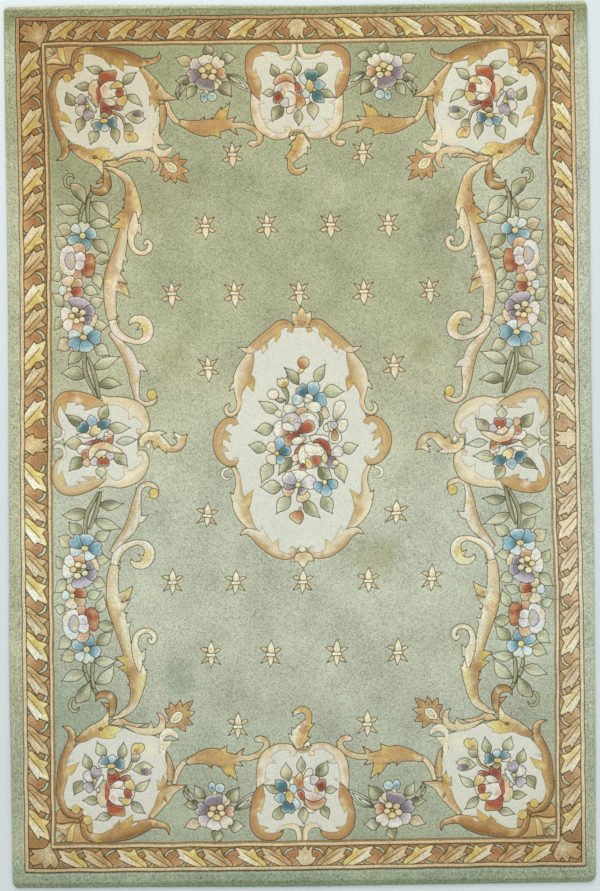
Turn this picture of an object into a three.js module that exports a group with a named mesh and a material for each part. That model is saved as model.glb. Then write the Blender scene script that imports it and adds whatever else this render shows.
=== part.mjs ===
// Carved wool rug lying flat: one closed solid, pile face up.
// Millimetres, +Z up, origin under the middle of the rug, +Y towards the top short side.
import * as THREE from "three";
import { mergeVertices } from "three/addons/utils/BufferGeometryUtils.js";

// Driving dimensions
const rugWidth = 1820;
const rugLength = 2750;
const pileTop = 14;
const carveDepth = 3;
const carveHalfWidth = 3;
const cornerSteps = 5;
const sharpRadius = 2;
const calmInset = 60;

// How far each carved guard line of the border lies inside the rug's edge
const guardLines = [
  { name: "margin to outer stripe", inset: 37 },
  { name: "outer stripe to leaf band", inset: 51 },
  { name: "leaf band to inner stripe", inset: 118 },
  { name: "inner stripe to field", inset: 132 },
];

// The rolled edge of the pile, from the flat underside out, up and in to the flat top
const edgeProfile = [
  { inset: 7, height: 0 },
  { inset: 2, height: 1.6 },
  { inset: 0, height: 5 },
  { inset: 1.2, height: 8.6 },
  { inset: 4.5, height: 11.4 },
  { inset: 10, height: 13.1 },
  { inset: 18, height: pileTop },
];

// Where each side strays from a straight line: along runs from 0 to 1, out is away from the rug
const sideWaves = {
  bottom: [
    { along: 0.15, out: 1 },
    { along: 0.5, out: 4.5 },
    { along: 0.75, out: 2 },
  ],
  right: [
    { along: 0.2, out: 3.5 },
    { along: 0.35, out: 4.5 },
    { along: 0.6, out: 1 },
    { along: 0.85, out: 2.5 },
  ],
  top: [
    { along: 0.15, out: -2 },
    { along: 0.45, out: -5 },
    { along: 0.7, out: 0.5 },
    { along: 0.85, out: 3.5 },
  ],
  left: [
    { along: 0.35, out: -3.5 },
    { along: 0.6, out: 0.5 },
    { along: 0.75, out: 4 },
    { along: 0.9, out: 1.5 },
  ],
};

// Each side runs counter-clockwise from its start corner, whose radius is given, in so many spans
const sides = [
  { name: "bottom", from: [-1, -1], to: [1, -1], radius: 20, spans: 20 },
  { name: "right", from: [1, -1], to: [1, 1], radius: 26, spans: 30 },
  { name: "top", from: [1, 1], to: [-1, 1], radius: 14, spans: 20 },
  { name: "left", from: [-1, 1], to: [-1, -1], radius: 16, spans: 30 },
];

// The stray of one side at a place along it, eased between the rows of its table
function strayAt(name, along) {
  const rows = [{ along: 0, out: 0 }, ...sideWaves[name], { along: 1, out: 0 }];
  const next = rows.findIndex((row, index) => index > 0 && along <= row.along);
  const before = rows[next - 1];
  const after = rows[next];
  const part = (along - before.along) / (after.along - before.along);
  const eased = part * part * (3 - 2 * part);
  return before.out + (after.out - before.out) * eased;
}

// One ring of points round the rug, set in from its edge and raised to a height
function makeRing({ inset, height }) {
  const ring = [];
  const wavy = Math.max(0, 1 - inset / calmInset);
  const halfWidth = rugWidth / 2 - inset;
  const halfLength = rugLength / 2 - inset;
  const radiusOf = (side) => Math.max(side.radius - inset, sharpRadius);
  sides.forEach((side, index) => {
    const from = new THREE.Vector2(side.from[0] * halfWidth, side.from[1] * halfLength);
    const to = new THREE.Vector2(side.to[0] * halfWidth, side.to[1] * halfLength);
    const run = to.clone().sub(from);
    const length = run.length();
    const forward = run.divideScalar(length);
    const outward = new THREE.Vector2(forward.y, -forward.x);
    const radius = radiusOf(side);
    const endRadius = radiusOf(sides[(index + 1) % sides.length]);

    const centre = from.clone().addScaledVector(forward, radius).addScaledVector(outward, -radius);
    for (let step = 0; step < cornerSteps; step += 1) {
      const angle = (1 - step / cornerSteps) * Math.PI / 2;
      const facing = outward.clone().multiplyScalar(Math.cos(angle));
      facing.addScaledVector(forward, -Math.sin(angle));
      const point = centre.clone().addScaledVector(facing, radius);
      ring.push(new THREE.Vector3(point.x, point.y, height));
    }

    const straight = length - radius - endRadius;
    for (let step = 0; step < side.spans; step += 1) {
      const reach = radius + straight * step / side.spans;
      const point = from.clone().addScaledVector(forward, reach);
      point.addScaledVector(outward, strayAt(side.name, reach / length) * wavy);
      ring.push(new THREE.Vector3(point.x, point.y, height));
    }
  });
  return ring;
}

// Every ring from underside to field: the rolled edge, then a V-shaped channel at each guard line
function ringTable() {
  const rings = [...edgeProfile];
  for (const line of guardLines) {
    rings.push({ inset: line.inset - carveHalfWidth, height: pileTop });
    rings.push({ inset: line.inset, height: pileTop - carveDepth });
    rings.push({ inset: line.inset + carveHalfWidth, height: pileTop });
  }
  return rings;
}

// The closed solid: lofted rings with a flat cap below and another on the field
function makeRug() {
  const rings = ringTable().map(makeRing);
  const ringLength = rings[0].length;
  const positions = [];
  const addTriangle = (a, b, c) => positions.push(...a.toArray(), ...b.toArray(), ...c.toArray());

  for (let level = 0; level + 1 < rings.length; level += 1) {
    const low = rings[level];
    const high = rings[level + 1];
    for (let index = 0; index < ringLength; index += 1) {
      const next = (index + 1) % ringLength;
      addTriangle(low[index], low[next], high[next]);
      addTriangle(low[index], high[next], high[index]);
    }
  }
  const addCap = (ring, facesUp) => {
    const flat = ring.map((point) => new THREE.Vector2(point.x, point.y));
    for (const [a, b, c] of THREE.ShapeUtils.triangulateShape(flat, [])) {
      if (facesUp) {
        addTriangle(ring[a], ring[b], ring[c]);
      } else {
        addTriangle(ring[a], ring[c], ring[b]);
      }
    }
  };
  addCap(rings[0], false);
  addCap(rings[rings.length - 1], true);

  const geometry = new THREE.BufferGeometry();
  geometry.setAttribute("position", new THREE.Float32BufferAttribute(positions, 3));
  geometry.computeBoundingBox();
  const middle = geometry.boundingBox.getCenter(new THREE.Vector3());
  geometry.translate(-middle.x, -middle.y, 0);
  const merged = mergeVertices(geometry, 1e-3);
  merged.computeVertexNormals();
  return merged;
}

const sageWool = new THREE.MeshStandardMaterial({ color: 0x93a184, roughness: 0.95, metalness: 0 });

const rug = new THREE.Mesh(makeRug(), sageWool);
rug.name = "rug";

const group = new THREE.Group();
group.add(rug);

export default group;
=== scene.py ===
import math

import bpy
import numpy as np
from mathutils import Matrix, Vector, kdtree, noise
from mathutils.geometry import delaunay_2d_cdt


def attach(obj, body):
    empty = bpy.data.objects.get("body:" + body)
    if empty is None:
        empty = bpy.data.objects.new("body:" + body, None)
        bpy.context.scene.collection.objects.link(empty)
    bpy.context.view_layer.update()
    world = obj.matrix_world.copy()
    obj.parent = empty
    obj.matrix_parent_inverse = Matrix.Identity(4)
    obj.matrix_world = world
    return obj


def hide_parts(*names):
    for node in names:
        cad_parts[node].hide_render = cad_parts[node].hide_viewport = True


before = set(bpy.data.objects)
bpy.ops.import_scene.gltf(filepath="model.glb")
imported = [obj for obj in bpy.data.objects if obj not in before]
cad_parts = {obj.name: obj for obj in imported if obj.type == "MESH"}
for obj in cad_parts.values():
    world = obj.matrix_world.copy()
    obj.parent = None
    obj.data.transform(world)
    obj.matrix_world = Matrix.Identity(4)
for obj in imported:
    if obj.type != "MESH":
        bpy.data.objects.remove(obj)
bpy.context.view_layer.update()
print("frame loaded")

# Camera straight above the rug; lengths in metres, its sensor in millimetres and its turn in degrees
lookDown = {"height": 4.2, "rugTop": 0.014, "frameWide": 1.8693, "sensor": 36.0, "turn": -0.6,
    "x": 0.0004, "y": -0.0024, "farClip": 50}

cameraData = bpy.data.cameras.new("overhead")
cameraData.sensor_fit = "HORIZONTAL"
cameraData.sensor_width = lookDown["sensor"]
cameraData.lens = lookDown["sensor"] * (lookDown["height"] - lookDown["rugTop"]) / lookDown["frameWide"]
cameraData.clip_end = lookDown["farClip"]
camera = bpy.data.objects.new("overhead", cameraData)
camera.location = (lookDown["x"], lookDown["y"], lookDown["height"])
camera.rotation_euler = (0, 0, math.radians(lookDown["turn"]))
bpy.context.collection.objects.link(camera)
bpy.context.scene.camera = camera
print("camera placed")

# The rug's sizes in millimetres, as in the part's source, and how its edge tucks in under the pile
rugSize = {"width": 1820.0, "length": 2750.0, "pileTop": 14.0, "calmInset": 60.0, "sharpRadius": 2.0,
    "flatInset": 18.0, "tuckedIn": 1.5, "hiddenFloor": 9.5, "cornerSteps": 10, "sideStep": 6.0}

# How the edge rolls: how far in from the rug's outline, and how high
edgeProfile = [(7, 1.2), (4, 1.7), (2, 2.4), (0.6, 3.7), (0, 5.2), (0.3, 7), (1.2, 8.8), (2.6, 10.3),
    (4.5, 11.5), (7, 12.5), (10, 13.2), (14, 13.8), (18, 14.0)]

# How far each side strays outward, at places from 0 to 1 along it, going round counter-clockwise
sideWaves = {
    "bottom": [(0.15, 1), (0.5, 4.5), (0.75, 2)],
    "right": [(0.2, 3.5), (0.35, 4.5), (0.6, 1), (0.85, 2.5)],
    "top": [(0.15, -2), (0.45, -5), (0.7, 0.5), (0.85, 3.5)],
    "left": [(0.35, -3.5), (0.6, 0.5), (0.75, 4), (0.9, 1.5)],
}
rugSides = [("bottom", (-1, -1), (1, -1), 20), ("right", (1, -1), (1, 1), 26),
            ("top", (1, 1), (-1, 1), 14), ("left", (-1, 1), (-1, -1), 16)]


def strayAt(name, along):
    rows = [(0, 0)] + sideWaves[name] + [(1, 0)]
    after = next(i for i, row in enumerate(rows) if i > 0 and along <= row[0])
    (placeA, outA), (placeB, outB) = rows[after - 1], rows[after]
    part = (along - placeA) / (placeB - placeA)
    return outA + (outB - outA) * part * part * (3 - 2 * part)


def edgeRing(inset):
    # One ring of points round the rug in millimetres, set in from its edge
    ring = []
    wavy = max(0, 1 - inset / rugSize["calmInset"])
    halfSize = np.array([rugSize["width"] / 2 - inset, rugSize["length"] / 2 - inset])
    for i, (name, start, end, radius) in enumerate(rugSides):
        radius = max(radius - inset, rugSize["sharpRadius"])
        endRadius = max(rugSides[(i + 1) % 4][3] - inset, rugSize["sharpRadius"])
        start, end = np.array(start) * halfSize, np.array(end) * halfSize
        length = np.linalg.norm(end - start)
        forward = (end - start) / length
        outward = np.array([forward[1], -forward[0]])
        centre = start + forward * radius - outward * radius
        for step in range(rugSize["cornerSteps"]):
            angle = (1 - step / rugSize["cornerSteps"]) * math.pi / 2
            ring.append(centre + radius * (outward * math.cos(angle) - forward * math.sin(angle)))
        straight = length - radius - endRadius
        spans = int((rugSize["width"] if i % 2 == 0 else rugSize["length"]) / rugSize["sideStep"])
        for step in range(spans):
            reach = radius + straight * step / spans
            ring.append(start + forward * reach + outward * strayAt(name, reach / length) * wavy)
    return np.array(ring)


outerRing = edgeRing(0)
ringMiddle = (outerRing.min(0) + outerRing.max(0)) / 2


# Pattern: every motif is drawn in millimetres on the rug's plane, in order, later ones on top
drawn = []  # closed shapes: outlines, tone, piece, ink and how they are placed
carved = []  # open carved lines that run inside shapes
pen = {"piece": "field", "turn": np.eye(2), "shift": np.zeros(2)}


def toLinear(colour):
    # 0 to 255 screen colour to the linear numbers that shaders use
    value = np.array(colour, float) / 255
    return np.where(value < 0.04045, value / 12.92, ((value + 0.055) / 1.055) ** 2.4)


# Yarn colours, as they look in daylight
yarn = {
    "sage": (186, 189, 157), "olive": (157, 160, 121), "reed": (169, 173, 138), "celadon": (190, 196, 173),
    "mist": (190, 198, 177), "willow": (181, 189, 167), "fern": (164, 173, 146), "jade": (152, 166, 138),
    "moss": (142, 146, 103), "pine": (124, 143, 113), "grey": (176, 180, 156), "cream": (214, 213, 197),
    "ivory": (228, 220, 192), "sand": (214, 198, 159), "stripe": (214, 192, 150), "orange": (190, 154, 100),
    "umber": (162, 126, 78), "amber": (204, 166, 108), "gold": (208, 184, 104), "straw": (222, 208, 150),
    "rust": (170, 124, 80), "bark": (154, 114, 64), "tan": (197, 171, 123), "clay": (194, 158, 108),
    "blush": (220, 200, 160), "shell": (226, 218, 204), "rose": (170, 92, 62), "wine": (134, 64, 48),
    "peach": (204, 160, 122), "lilac": (188, 180, 184), "plum": (140, 128, 134), "grape": (114, 104, 112),
    "teal": (76, 114, 118), "sky": (136, 170, 178), "ice": (200, 216, 212), "leaf": (166, 162, 123),
    "herb": (128, 126, 90), "bud": (204, 201, 166),
}
linear = {name: toLinear(colour) for name, colour in yarn.items()}


def smoothCurve(points, closed=True, step=4.0):
    # A curve through the points; one with a third entry is a sharp corner
    place = np.array([point[:2] for point in points], float)
    sharp = [len(point) > 2 for point in points]
    count = len(place)
    last = count if closed else count - 1
    found = []
    for i in range(last):
        j = (i + 1) % count
        a, b = place[i], place[j]
        length = np.linalg.norm(b - a)
        before = place[i - 1] if (closed or i > 0) else a
        after = place[(j + 1) % count] if (closed or j < count - 1) else b
        leave = b - a if sharp[i] else b - before
        arrive = b - a if sharp[j] else after - a
        leave = leave / (np.linalg.norm(leave) + 1e-9) * length
        arrive = arrive / (np.linalg.norm(arrive) + 1e-9) * length
        pieces = max(1, int(math.ceil(length / step)))
        t = (np.arange(pieces) / pieces)[:, None]
        found.append((2 * t ** 3 - 3 * t ** 2 + 1) * a + (t ** 3 - 2 * t ** 2 + t) * leave
                     + (3 * t ** 2 - 2 * t ** 3) * b + (t ** 3 - t ** 2) * arrive)
    if not closed:
        found.append(place[-1:])
    return np.concatenate(found)


def shape(outlines, tone, ink=1.0, under=1.0):
    # One colour area, the union of its outlines; ink is how deep its rim is cut, and under scales the
    # ink of what is drawn on it
    if isinstance(outlines, np.ndarray):
        outlines = [outlines]
    drawn.append({
        "outlines": [outline @ pen["turn"].T + pen["shift"] for outline in outlines],
        "tone": tone, "back": np.linalg.inv(pen["turn"]), "shift": pen["shift"], "piece": pen["piece"],
        "ink": ink, "under": under,
    })


def carve(points, ink, reach=1):
    # A carved line on the last shapes drawn, as many as reach says
    line = smoothCurve(points, closed=False) @ pen["turn"].T + pen["shift"]
    carved.append({"line": line, "owners": (len(drawn) - reach, len(drawn) - 1), "ink": ink})


def placed(draw, turn, shift=(0, 0)):
    # Draw a motif again, turned or mirrored and shifted
    was = pen["turn"], pen["shift"]
    pen["turn"] = was[0] @ np.array(turn, float)
    pen["shift"] = was[0] @ np.array(shift, float) + was[1]
    draw()
    pen["turn"], pen["shift"] = was


# Forms: rows of along, across and a mark for a sharp corner, from base 0 to tip 1
forms = {
    "leaf": [(0, 0, 1), (0.22, 0.36), (0.5, 0.5), (0.8, 0.28), (1, 0, 1), (0.8, -0.28), (0.5, -0.5),
        (0.22, -0.36)],
    "blade": [(0, 0, 1), (0.2, 0.33), (0.46, 0.5), (0.76, 0.32), (0.92, 0.12), (1.09, 0, 1), (0.92, -0.12),
        (0.76, -0.32), (0.46, -0.5), (0.2, -0.33)],
    "petal": [(0, 0.14), (0.3, 0.38), (0.6, 0.5), (0.82, 0.46), (0.9, 0.3, 1), (1, 0.14), (0.96, -0.02, 1),
        (1, -0.2), (0.86, -0.36, 1), (0.8, -0.47), (0.56, -0.5), (0.28, -0.38), (0, -0.14)],
    "heart": [(0, 0.12), (0.3, 0.38), (0.66, 0.5), (0.92, 0.4), (0.98, 0.22), (0.86, 0.02, 1), (1, -0.16),
        (0.96, -0.36), (0.7, -0.5), (0.32, -0.4), (0, -0.12)],
    "spike": [(0, 0.5, 1), (0.45, 0.3), (1, 0, 1), (0.45, -0.3), (0, -0.5, 1)],
    "flame": [(0, 0.4, 1), (0.4, 0.5), (1, 0, 1), (0.5, -0.2), (0, -0.5, 1)],
    "cup": [(0, 0.3), (0.3, 0.5), (0.75, 0.48), (1, 0.45, 1), (0.8, 0.2), (1, 0, 1), (0.8, -0.2),
        (1, -0.45, 1), (0.75, -0.48), (0.3, -0.5), (0, -0.3)],
}


def between(base, tip):
    # The base as an array, the way to the tip, its length and the direction to its left
    base = np.array(base, float)
    axis = np.array(tip, float) - base
    length = math.hypot(axis[0], axis[1])
    return base, axis, length, np.array([-axis[1], axis[0]]) / length


def formed(form, base, tip, width, bend=0.0):
    # A form stretched from base to tip, bent sideways by a share of its length
    base, axis, length, left = between(base, tip)
    points = []
    for along, across, *sharp in forms[form]:
        spot = base + axis * along + left * (across * width + length * bend * 4 * along * (1 - along))
        points.append((spot[0], spot[1], *sharp))
    return smoothCurve(points)


def disc(centre, radius, squash=1.0, angle=0.0, step=4.0):
    count = max(8, int(2 * math.pi * radius / step))
    turn = np.arange(count) * 2 * math.pi / count
    flat = np.stack([np.cos(turn) * radius, np.sin(turn) * radius * squash], 1)
    c, s = math.cos(angle), math.sin(angle)
    return flat @ np.array([[c, s], [-s, c]]) + np.array(centre, float)


def runOf(path):
    # The direction of a path at each of its points
    run = np.gradient(path, axis=0)
    return run / (np.linalg.norm(run, axis=1)[:, None] + 1e-9)


def strokeSides(spine, step=4.0):
    # Left and right edges of a stroke whose rows are x, y and half width
    path = smoothCurve([row[:2] for row in spine], closed=False, step=step)
    knots = [np.argmin(np.sum((path - np.array(row[:2])) ** 2, 1)) for row in spine]
    knots = np.maximum.accumulate(knots)
    half = np.interp(np.arange(len(path)), knots, [row[2] for row in spine])
    if len(path) > 6:
        half = np.convolve(np.pad(half, 2, mode="edge"), np.full(5, 0.2), "valid")
        half[0], half[-1] = spine[0][2], spine[-1][2]
    side = runOf(path)[:, ::-1] * (-1, 1) * half[:, None]
    return path, half, path + side, path - side


def stroke(spine):
    # The outline of a stroke; an end of no width comes to a point
    path, half, left, right = strokeSides(spine)
    if half[-1] < 0.5:
        left, right = np.concatenate([left[:-1], path[-1:]]), right[:-1]
    if half[0] < 0.5:
        left, right = left[1:], np.concatenate([path[:1], right[1:]])
    return np.concatenate([left, right[::-1]])


# Tones: each gives the linear colour at points, from their place and their depth inside a shape. How
# strong each effect is, as a share; the dark edge of a stroke is by red, green and blue. The dark and lit
# sides of a leaf are painted shade and painted light, and a petal's pale rim is a painted highlight
shading = {"fadeStreak": 0.11, "leafDark": 0.2, "leafLit": 0.7, "petalDark": 0.34, "petalRim": 0.4,
    "spot": 0.8, "spotWobble": 0.24, "strokeStreak": 0.1, "strokeEdge": (0.12, 0.17, 0.25)}
longFade = 120


def mix(a, b, share):
    share = np.clip(share, 0, 1)[:, None]
    return a * (1 - share) + b * share


def plain(colour):
    return lambda at, depth: np.tile(linear[colour], (len(at), 1))


def toned(tone):
    # A tone, or the plain tone of a colour's name
    return plain(tone) if isinstance(tone, str) else tone


def fade(start, end, tones):
    # From the first colour at start to the last at end, with fine streaks where it is short
    names = tones.split()
    start, axis, length, left = between(start, end)

    def tone(at, depth):
        share = (at - start) @ axis / length ** 2
        along = np.clip(share, 0, 1) * (len(names) - 1)
        found = np.tile(linear[names[0]], (len(at), 1))
        for i in range(1, len(names)):
            found = mix(found, linear[names[i]], along - i + 1)
        if length > longFade:
            return found
        streak = np.sin((at - start) @ left * 0.62 + 1.4 * np.sin(share * 3 + start[0]) + start[1])
        return found * (1 + shading["fadeStreak"] * streak * np.clip(1.2 - share, 0, 1))[:, None]
    return tone


def halfLit(base, tip, glow, tones):
    # A fade along a leaf, with painted shade below its rib and, on the side above it that faces up to the
    # light, painted light turning to a lighter colour
    under = fade(base, tip, tones)
    base, axis, length, side = between(base, tip)
    if abs(side[1]) > 0.2 and side[1] < 0:
        side = -side

    def tone(at, depth):
        along = (at - base) @ axis / length ** 2
        upper = np.clip(0.5 + (at - base) @ side / (0.12 * length), 0, 1)
        lit = upper * np.clip(2.6 * along - 0.5, 0, 1) * np.clip(4.4 - 4 * along, 0, 1)
        found = under(at, depth) * (1 - shading["leafDark"] * (1 - upper))[:, None]
        return mix(found, linear[glow], shading["leafLit"] * lit)
    return tone


def cupped(base, tip, under):
    # A petal: darker where it springs from, and paler along its far rim, a painted highlight where its cut
    # edge catches the light
    base, axis, length, _ = between(base, tip)

    def tone(at, depth):
        along = (at - base) @ axis / length ** 2
        found = under(at, depth) * (1 - shading["petalDark"] * np.clip(1 - along / 0.45, 0, 1))[:, None]
        rim = np.clip(1.6 - depth / 4, 0, 1) * np.clip(3 * along - 1.4, 0, 1)
        return mix(found, linear["shell"], shading["petalRim"] * rim)
    return tone


def spotted(base, *spots):
    # Soft spots of x, y, radius and colour over a tone or a colour
    def tone(at, depth):
        found = toned(base)(at, depth)
        for x, y, radius, name in spots:
            wobble = shading["spotWobble"] * radius
            offX = at[:, 0] - x + wobble * np.sin(at[:, 1] * 0.42 + x)
            offY = at[:, 1] - y + wobble * np.sin(at[:, 0] * 0.36 + y)
            near = np.clip(1.25 - np.hypot(offX, offY) / radius, 0, 1)
            found = mix(found, linear[name], shading["spot"] * near * near * (3 - 2 * near))
        return found
    return tone


def acrossStroke(spine, left, right, soft):
    # Left colour to right colour over a stroke, with streaks along it and darker edges
    path, half, _, _ = strokeSides(spine, 6.0)
    run = runOf(path)

    def tone(at, depth):
        near = np.argmin(((at[:, None] - path[None]) ** 2).sum(2), 1)
        off = at - path[near]
        over = (run[near, 0] * off[:, 1] - run[near, 1] * off[:, 0]) / np.maximum(half[near], 2)
        streak = np.sin(over * 5.2 + 1.8 * np.sin(near * 0.16 + path[0, 0]))
        edge = np.clip(np.abs(over) * 2 - 1.1, 0, 0.9)[:, None] * shading["strokeEdge"]
        found = mix(linear[right], linear[left], 0.5 + over / (2 * soft))
        return found * (1 + shading["strokeStreak"] * streak)[:, None] * (1 - edge)
    return tone


# Small helpers for leaves, petals and scrolls; each one draws a row of numbers at a time
def leaf(tipX, tipY, baseX, baseY, width, tones="herb leaf bud", bend=0.0, rib=0.3):
    base, tip = (baseX, baseY), (tipX, tipY)
    shape(formed("blade", base, tip, width, bend), halfLit(base, tip, "bud", tones))
    if rib:
        base, axis, length, left = between(base, tip)
        carve([base + axis * t + left * length * bend * 4 * t * (1 - t) for t in (0.08, 0.3, 0.55)], ink=rib)


def petal(baseX, baseY, tipX, tipY, width, tones, form="petal", bend=0.0, ink=1.0):
    base, tip = (baseX, baseY), (tipX, tipY)
    tone = fade(base, tip, tones) if " " in tones else plain(tones)
    shape(formed(form, base, tip, width, bend), cupped(base, tip, tone), ink)


def each(draw, *rows):
    for row in rows:
        draw(*row)


def patch(points, tone, ink=1.0):
    shape(smoothCurve(points), toned(tone), ink)


def ground(points, *spots):
    # A pale ground; lines of what lies on it are cut lightly
    shape(smoothCurve(points), spotted("cream", *spots), under=0.5)


def dot(centre, radius, tone, squash=1.0, angle=0.0, ink=1.0):
    shape(disc(centre, radius, squash, angle, 3.0), toned(tone), ink)


def arm(spine, left, right, flames=(), spikes=(), spots=(), soft=0.6, ink=1.0):
    # A scroll arm of varying width; its barbs, base, tip and width, are in the same outline
    outlines = [stroke(spine)]
    for form, barbs in (("flame", flames), ("spike", spikes)):
        outlines += [formed(form, barb[:2], barb[2:4], barb[4]) for barb in barbs]
    shape(outlines, spotted(acrossStroke(spine, left, right, soft), *spots), ink)


upright, mirrored = ((1, 0), (0, 1)), ((-1, 0), (0, 1))
flipped, halfTurned = ((1, 0), (0, -1)), ((-1, 0), (0, -1))


# The border: two guard stripes and a band of slanting leaves between them
border = {
    "outerX": 870, "outerY": 1341, "bandX": 857, "bandY": 1329,
    "innerX": 796, "innerY": 1263, "paleWide": 10, "brownWide": 4,
    "leafPitchShort": 93.4, "leafPitchLong": 91.2, "leavesShort": 8, "leavesLong": 13,
}


def sharpPath(points, step):
    return smoothCurve([(x, y, 1) for x, y in points], step=step)


def frameBand(x0, y0, x1, y1):
    # A closed frame between two rectangles, as four mitred strips
    ways = ((-1, 1), (1, 1), (1, -1), (-1, -1), (-1, 1))
    return [sharpPath([(a * x0, b * y0), (c * x0, d * y0), (c * x1, d * y1), (a * x1, b * y1)], 8.0)
            for (a, b), (c, d) in zip(ways, ways[1:])]


def drawBorderUnit(light):
    # One leaf with the ground and ribbon ends after it; x runs along the band, y from inside out
    slip = 0 if light else 13
    tones, edge = ("ivory ivory gold gold", "straw") if light else ("sand sand orange orange", "tan")
    patch([(80, 3, 1), (120 + slip, 3, 1), (165 + slip, 62, 1), (112, 65, 1)],
        fade((100, 10), (130, 60), "umber rust clay"), ink=0)
    highEnd, lowEnd = ((142, 48), (104, 10)) if light else ((162, 48), (118, 8))
    (highX, highY), (lowX, lowY) = highEnd, lowEnd
    shape(stroke([(highX - 32, 66, 3.5), (highX - 13, 62, 4.5), (highX, highY, 4)]),
        fade((110, 66), highEnd, "grey sage leaf"))
    shape(stroke([(lowX - 24, 29, 4), (lowX - 14, 14, 4.5), (lowX + 4, lowY, 3.5)]),
        fade((84, 28), lowEnd, "leaf sage mist"))
    carve([(104, 38), (118, 39), (132, 56)], ink=0.8)
    carve([(92, 28), (96, 38), (108, 44)], ink=0.6)
    patch([(19, 3, 1), (33, 30, 1), (22, 34, 1), (54, 53), (84, 66), (104, 70), (117, 63), (114, 52),
        (102, 39), (90, 30), (79, 2, 1), (64, 15, 1), (44, 7)],
        spotted(fade((52, 48), (76, 26), tones), (98, 62, 20, edge), (24, 10, 24, edge),
        (72, 14, 16, edge)))
    carve([(44, 20), (74, 41), (108, 65)], ink=0.9)
    if not light:
        carve([(60, 17), (82, 32), (96, 50)], ink=0.6)
        carve([(40, 38), (62, 46), (84, 58)], ink=0.3)


def darkEdged(tone, edge, wide):
    # A tone that darkens within a short way of its outline
    return lambda at, depth: mix(tone(at, depth), linear[edge], 0.8 * (1 - depth / wide))


def drawBand(units, pitch):
    # Half a side of the leaf band, from the corner to the middle
    for i in range(units):
        placed(lambda: drawBorderUnit(i % 2 == 0), np.eye(2), (i * pitch - 13 * (i % 2), 0))


def drawCornerLeaf():
    # The broad tan leaf in a corner square, x to the right and y up from the square's inner corner
    patch([(5, 2, 1), (22, 44), (15, 60), (4, 67, 1), (-4, 50, 1), (-12, 62), (-20, 67), (-28, 48, 1),
        (-50, 58, 1), (-64, 36, 1), (-58, 26, 1), (-46, 18, 1), (-60, 4, 1), (-26, 0), (-14, -6),
        (-4, -22, 1)], spotted("tan", (-10, 30, 34, "sand"), (-22, 48, 14, "amber"), (-44, 40, 20, "clay"),
        (-10, 20, 16, "ivory")))
    carve([(-58, 36), (-44, 34), (-26, 26)], ink=0.35)
    carve([(-28, 48), (-20, 36), (-18, 20)], ink=0.3)
    carve([(5, 60), (4, 40), (-2, 22)], ink=0.3)


def drawPalmette(pale):
    # The fan between the last leaves at the middle of a side
    patch([(-19, 54), (-12, 62), (3, 65), (18, 62), (28, 54), (38, 38, 1), (24, 34, 1), (23, 16), (27, 1, 1),
        (18, 3, 1), (11, 14, 1), (5, -1, 1), (-4, 3, 1), (-11, 15, 1), (-21, 0, 1), (-20, 32, 1),
        (-33, 37, 1)], spotted("sand" if pale else "amber", (0, 40, 30, "sand"), (-20, 60, 14, "ivory"),
        (0, 10, 20, "tan")))


def drawBorder():
    pen["piece"] = "border"
    b = border
    inner = np.array([b["innerX"], b["innerY"]])
    corners = [(sx, sy) for sx in (-1, 1) for sy in (-1, 1)]
    shape(frameBand(b["bandX"], b["bandY"], b["innerX"], b["innerY"]), plain("umber"))
    for sx, sy in corners:
        at = inner * (sx, sy)
        placed(lambda: drawBand(b["leavesShort"], b["leafPitchShort"]), [[-sx, 0], [0, sy]], at)
        placed(lambda: drawBand(b["leavesLong"], b["leafPitchLong"]), [[0, sx], [-sy, 0]], at)
    for way in (-1, 1):
        placed(lambda: drawPalmette(True), [[1, 0], [0, way]], (2, way * b["innerY"]))
        placed(lambda: drawPalmette(False), [[0, way], [1, 0]], (way * b["innerX"], 0))
    cell = np.array([(b["bandX"], b["bandY"]), (b["innerX"], b["bandY"]), inner, (b["bandX"], b["innerY"])])
    for sx, sy in corners:
        shape(sharpPath(cell * (sx, sy), 6.0), plain("umber"))
        placed(drawCornerLeaf, [[-sx, 0], [0, sy]], inner * (sx, sy))
    stripe = fade((0, b["outerY"]), (0, 700), "clay stripe")
    shape(frameBand(b["outerX"], b["outerY"], b["bandX"], b["bandY"]), darkEdged(stripe, "umber", 2.6))
    paleX, paleY = inner - b["paleWide"]
    shape(frameBand(b["innerX"], b["innerY"], paleX, paleY), plain("stripe"))
    shape(frameBand(paleX, paleY, paleX - b["brownWide"], paleY - b["brownWide"]), plain("amber"), ink=0.7)


# Grounds that everything else is drawn on: the margin outside the guard and the open field
def marginShade(at, depth):
    y = at[:, 1]
    # Painted light: lighter and bluer towards the right
    found = fade((-900, 0), (900, 0), "sage celadon")(at, depth)
    # Painted shade along the top of the margin
    found = mix(found, linear["moss"], (y - 1230) / 100)
    # Painted highlight on the top rim, where the rolled edge faces the light
    found = mix(found, linear["sage"], (y - 1361) / 8)
    # Darker and greener towards the bottom
    found = mix(found, linear["jade"], (-1260 - y) / 60)
    # Painted shade on the bottom rim, where the rolled edge faces away from the light
    found = mix(found, linear["pine"], (-1358 - y) / 3)
    # A dark painted crease of shade where the flat top meets the rolled edge at the bottom
    return mix(found, linear["herb"], 0.7 * np.exp(-((y + 1360) / 2.5) ** 2))


# Painted light and shade at the ends of the margin: darker and yellower at the top, darker and greener at
# the bottom
marginTone = spotted(marginShade, (-890, 1060, 240, "olive"), (890, 1060, 240, "sage"),
    (-890, -1050, 280, "fern"), (890, -1050, 280, "fern"))


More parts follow.
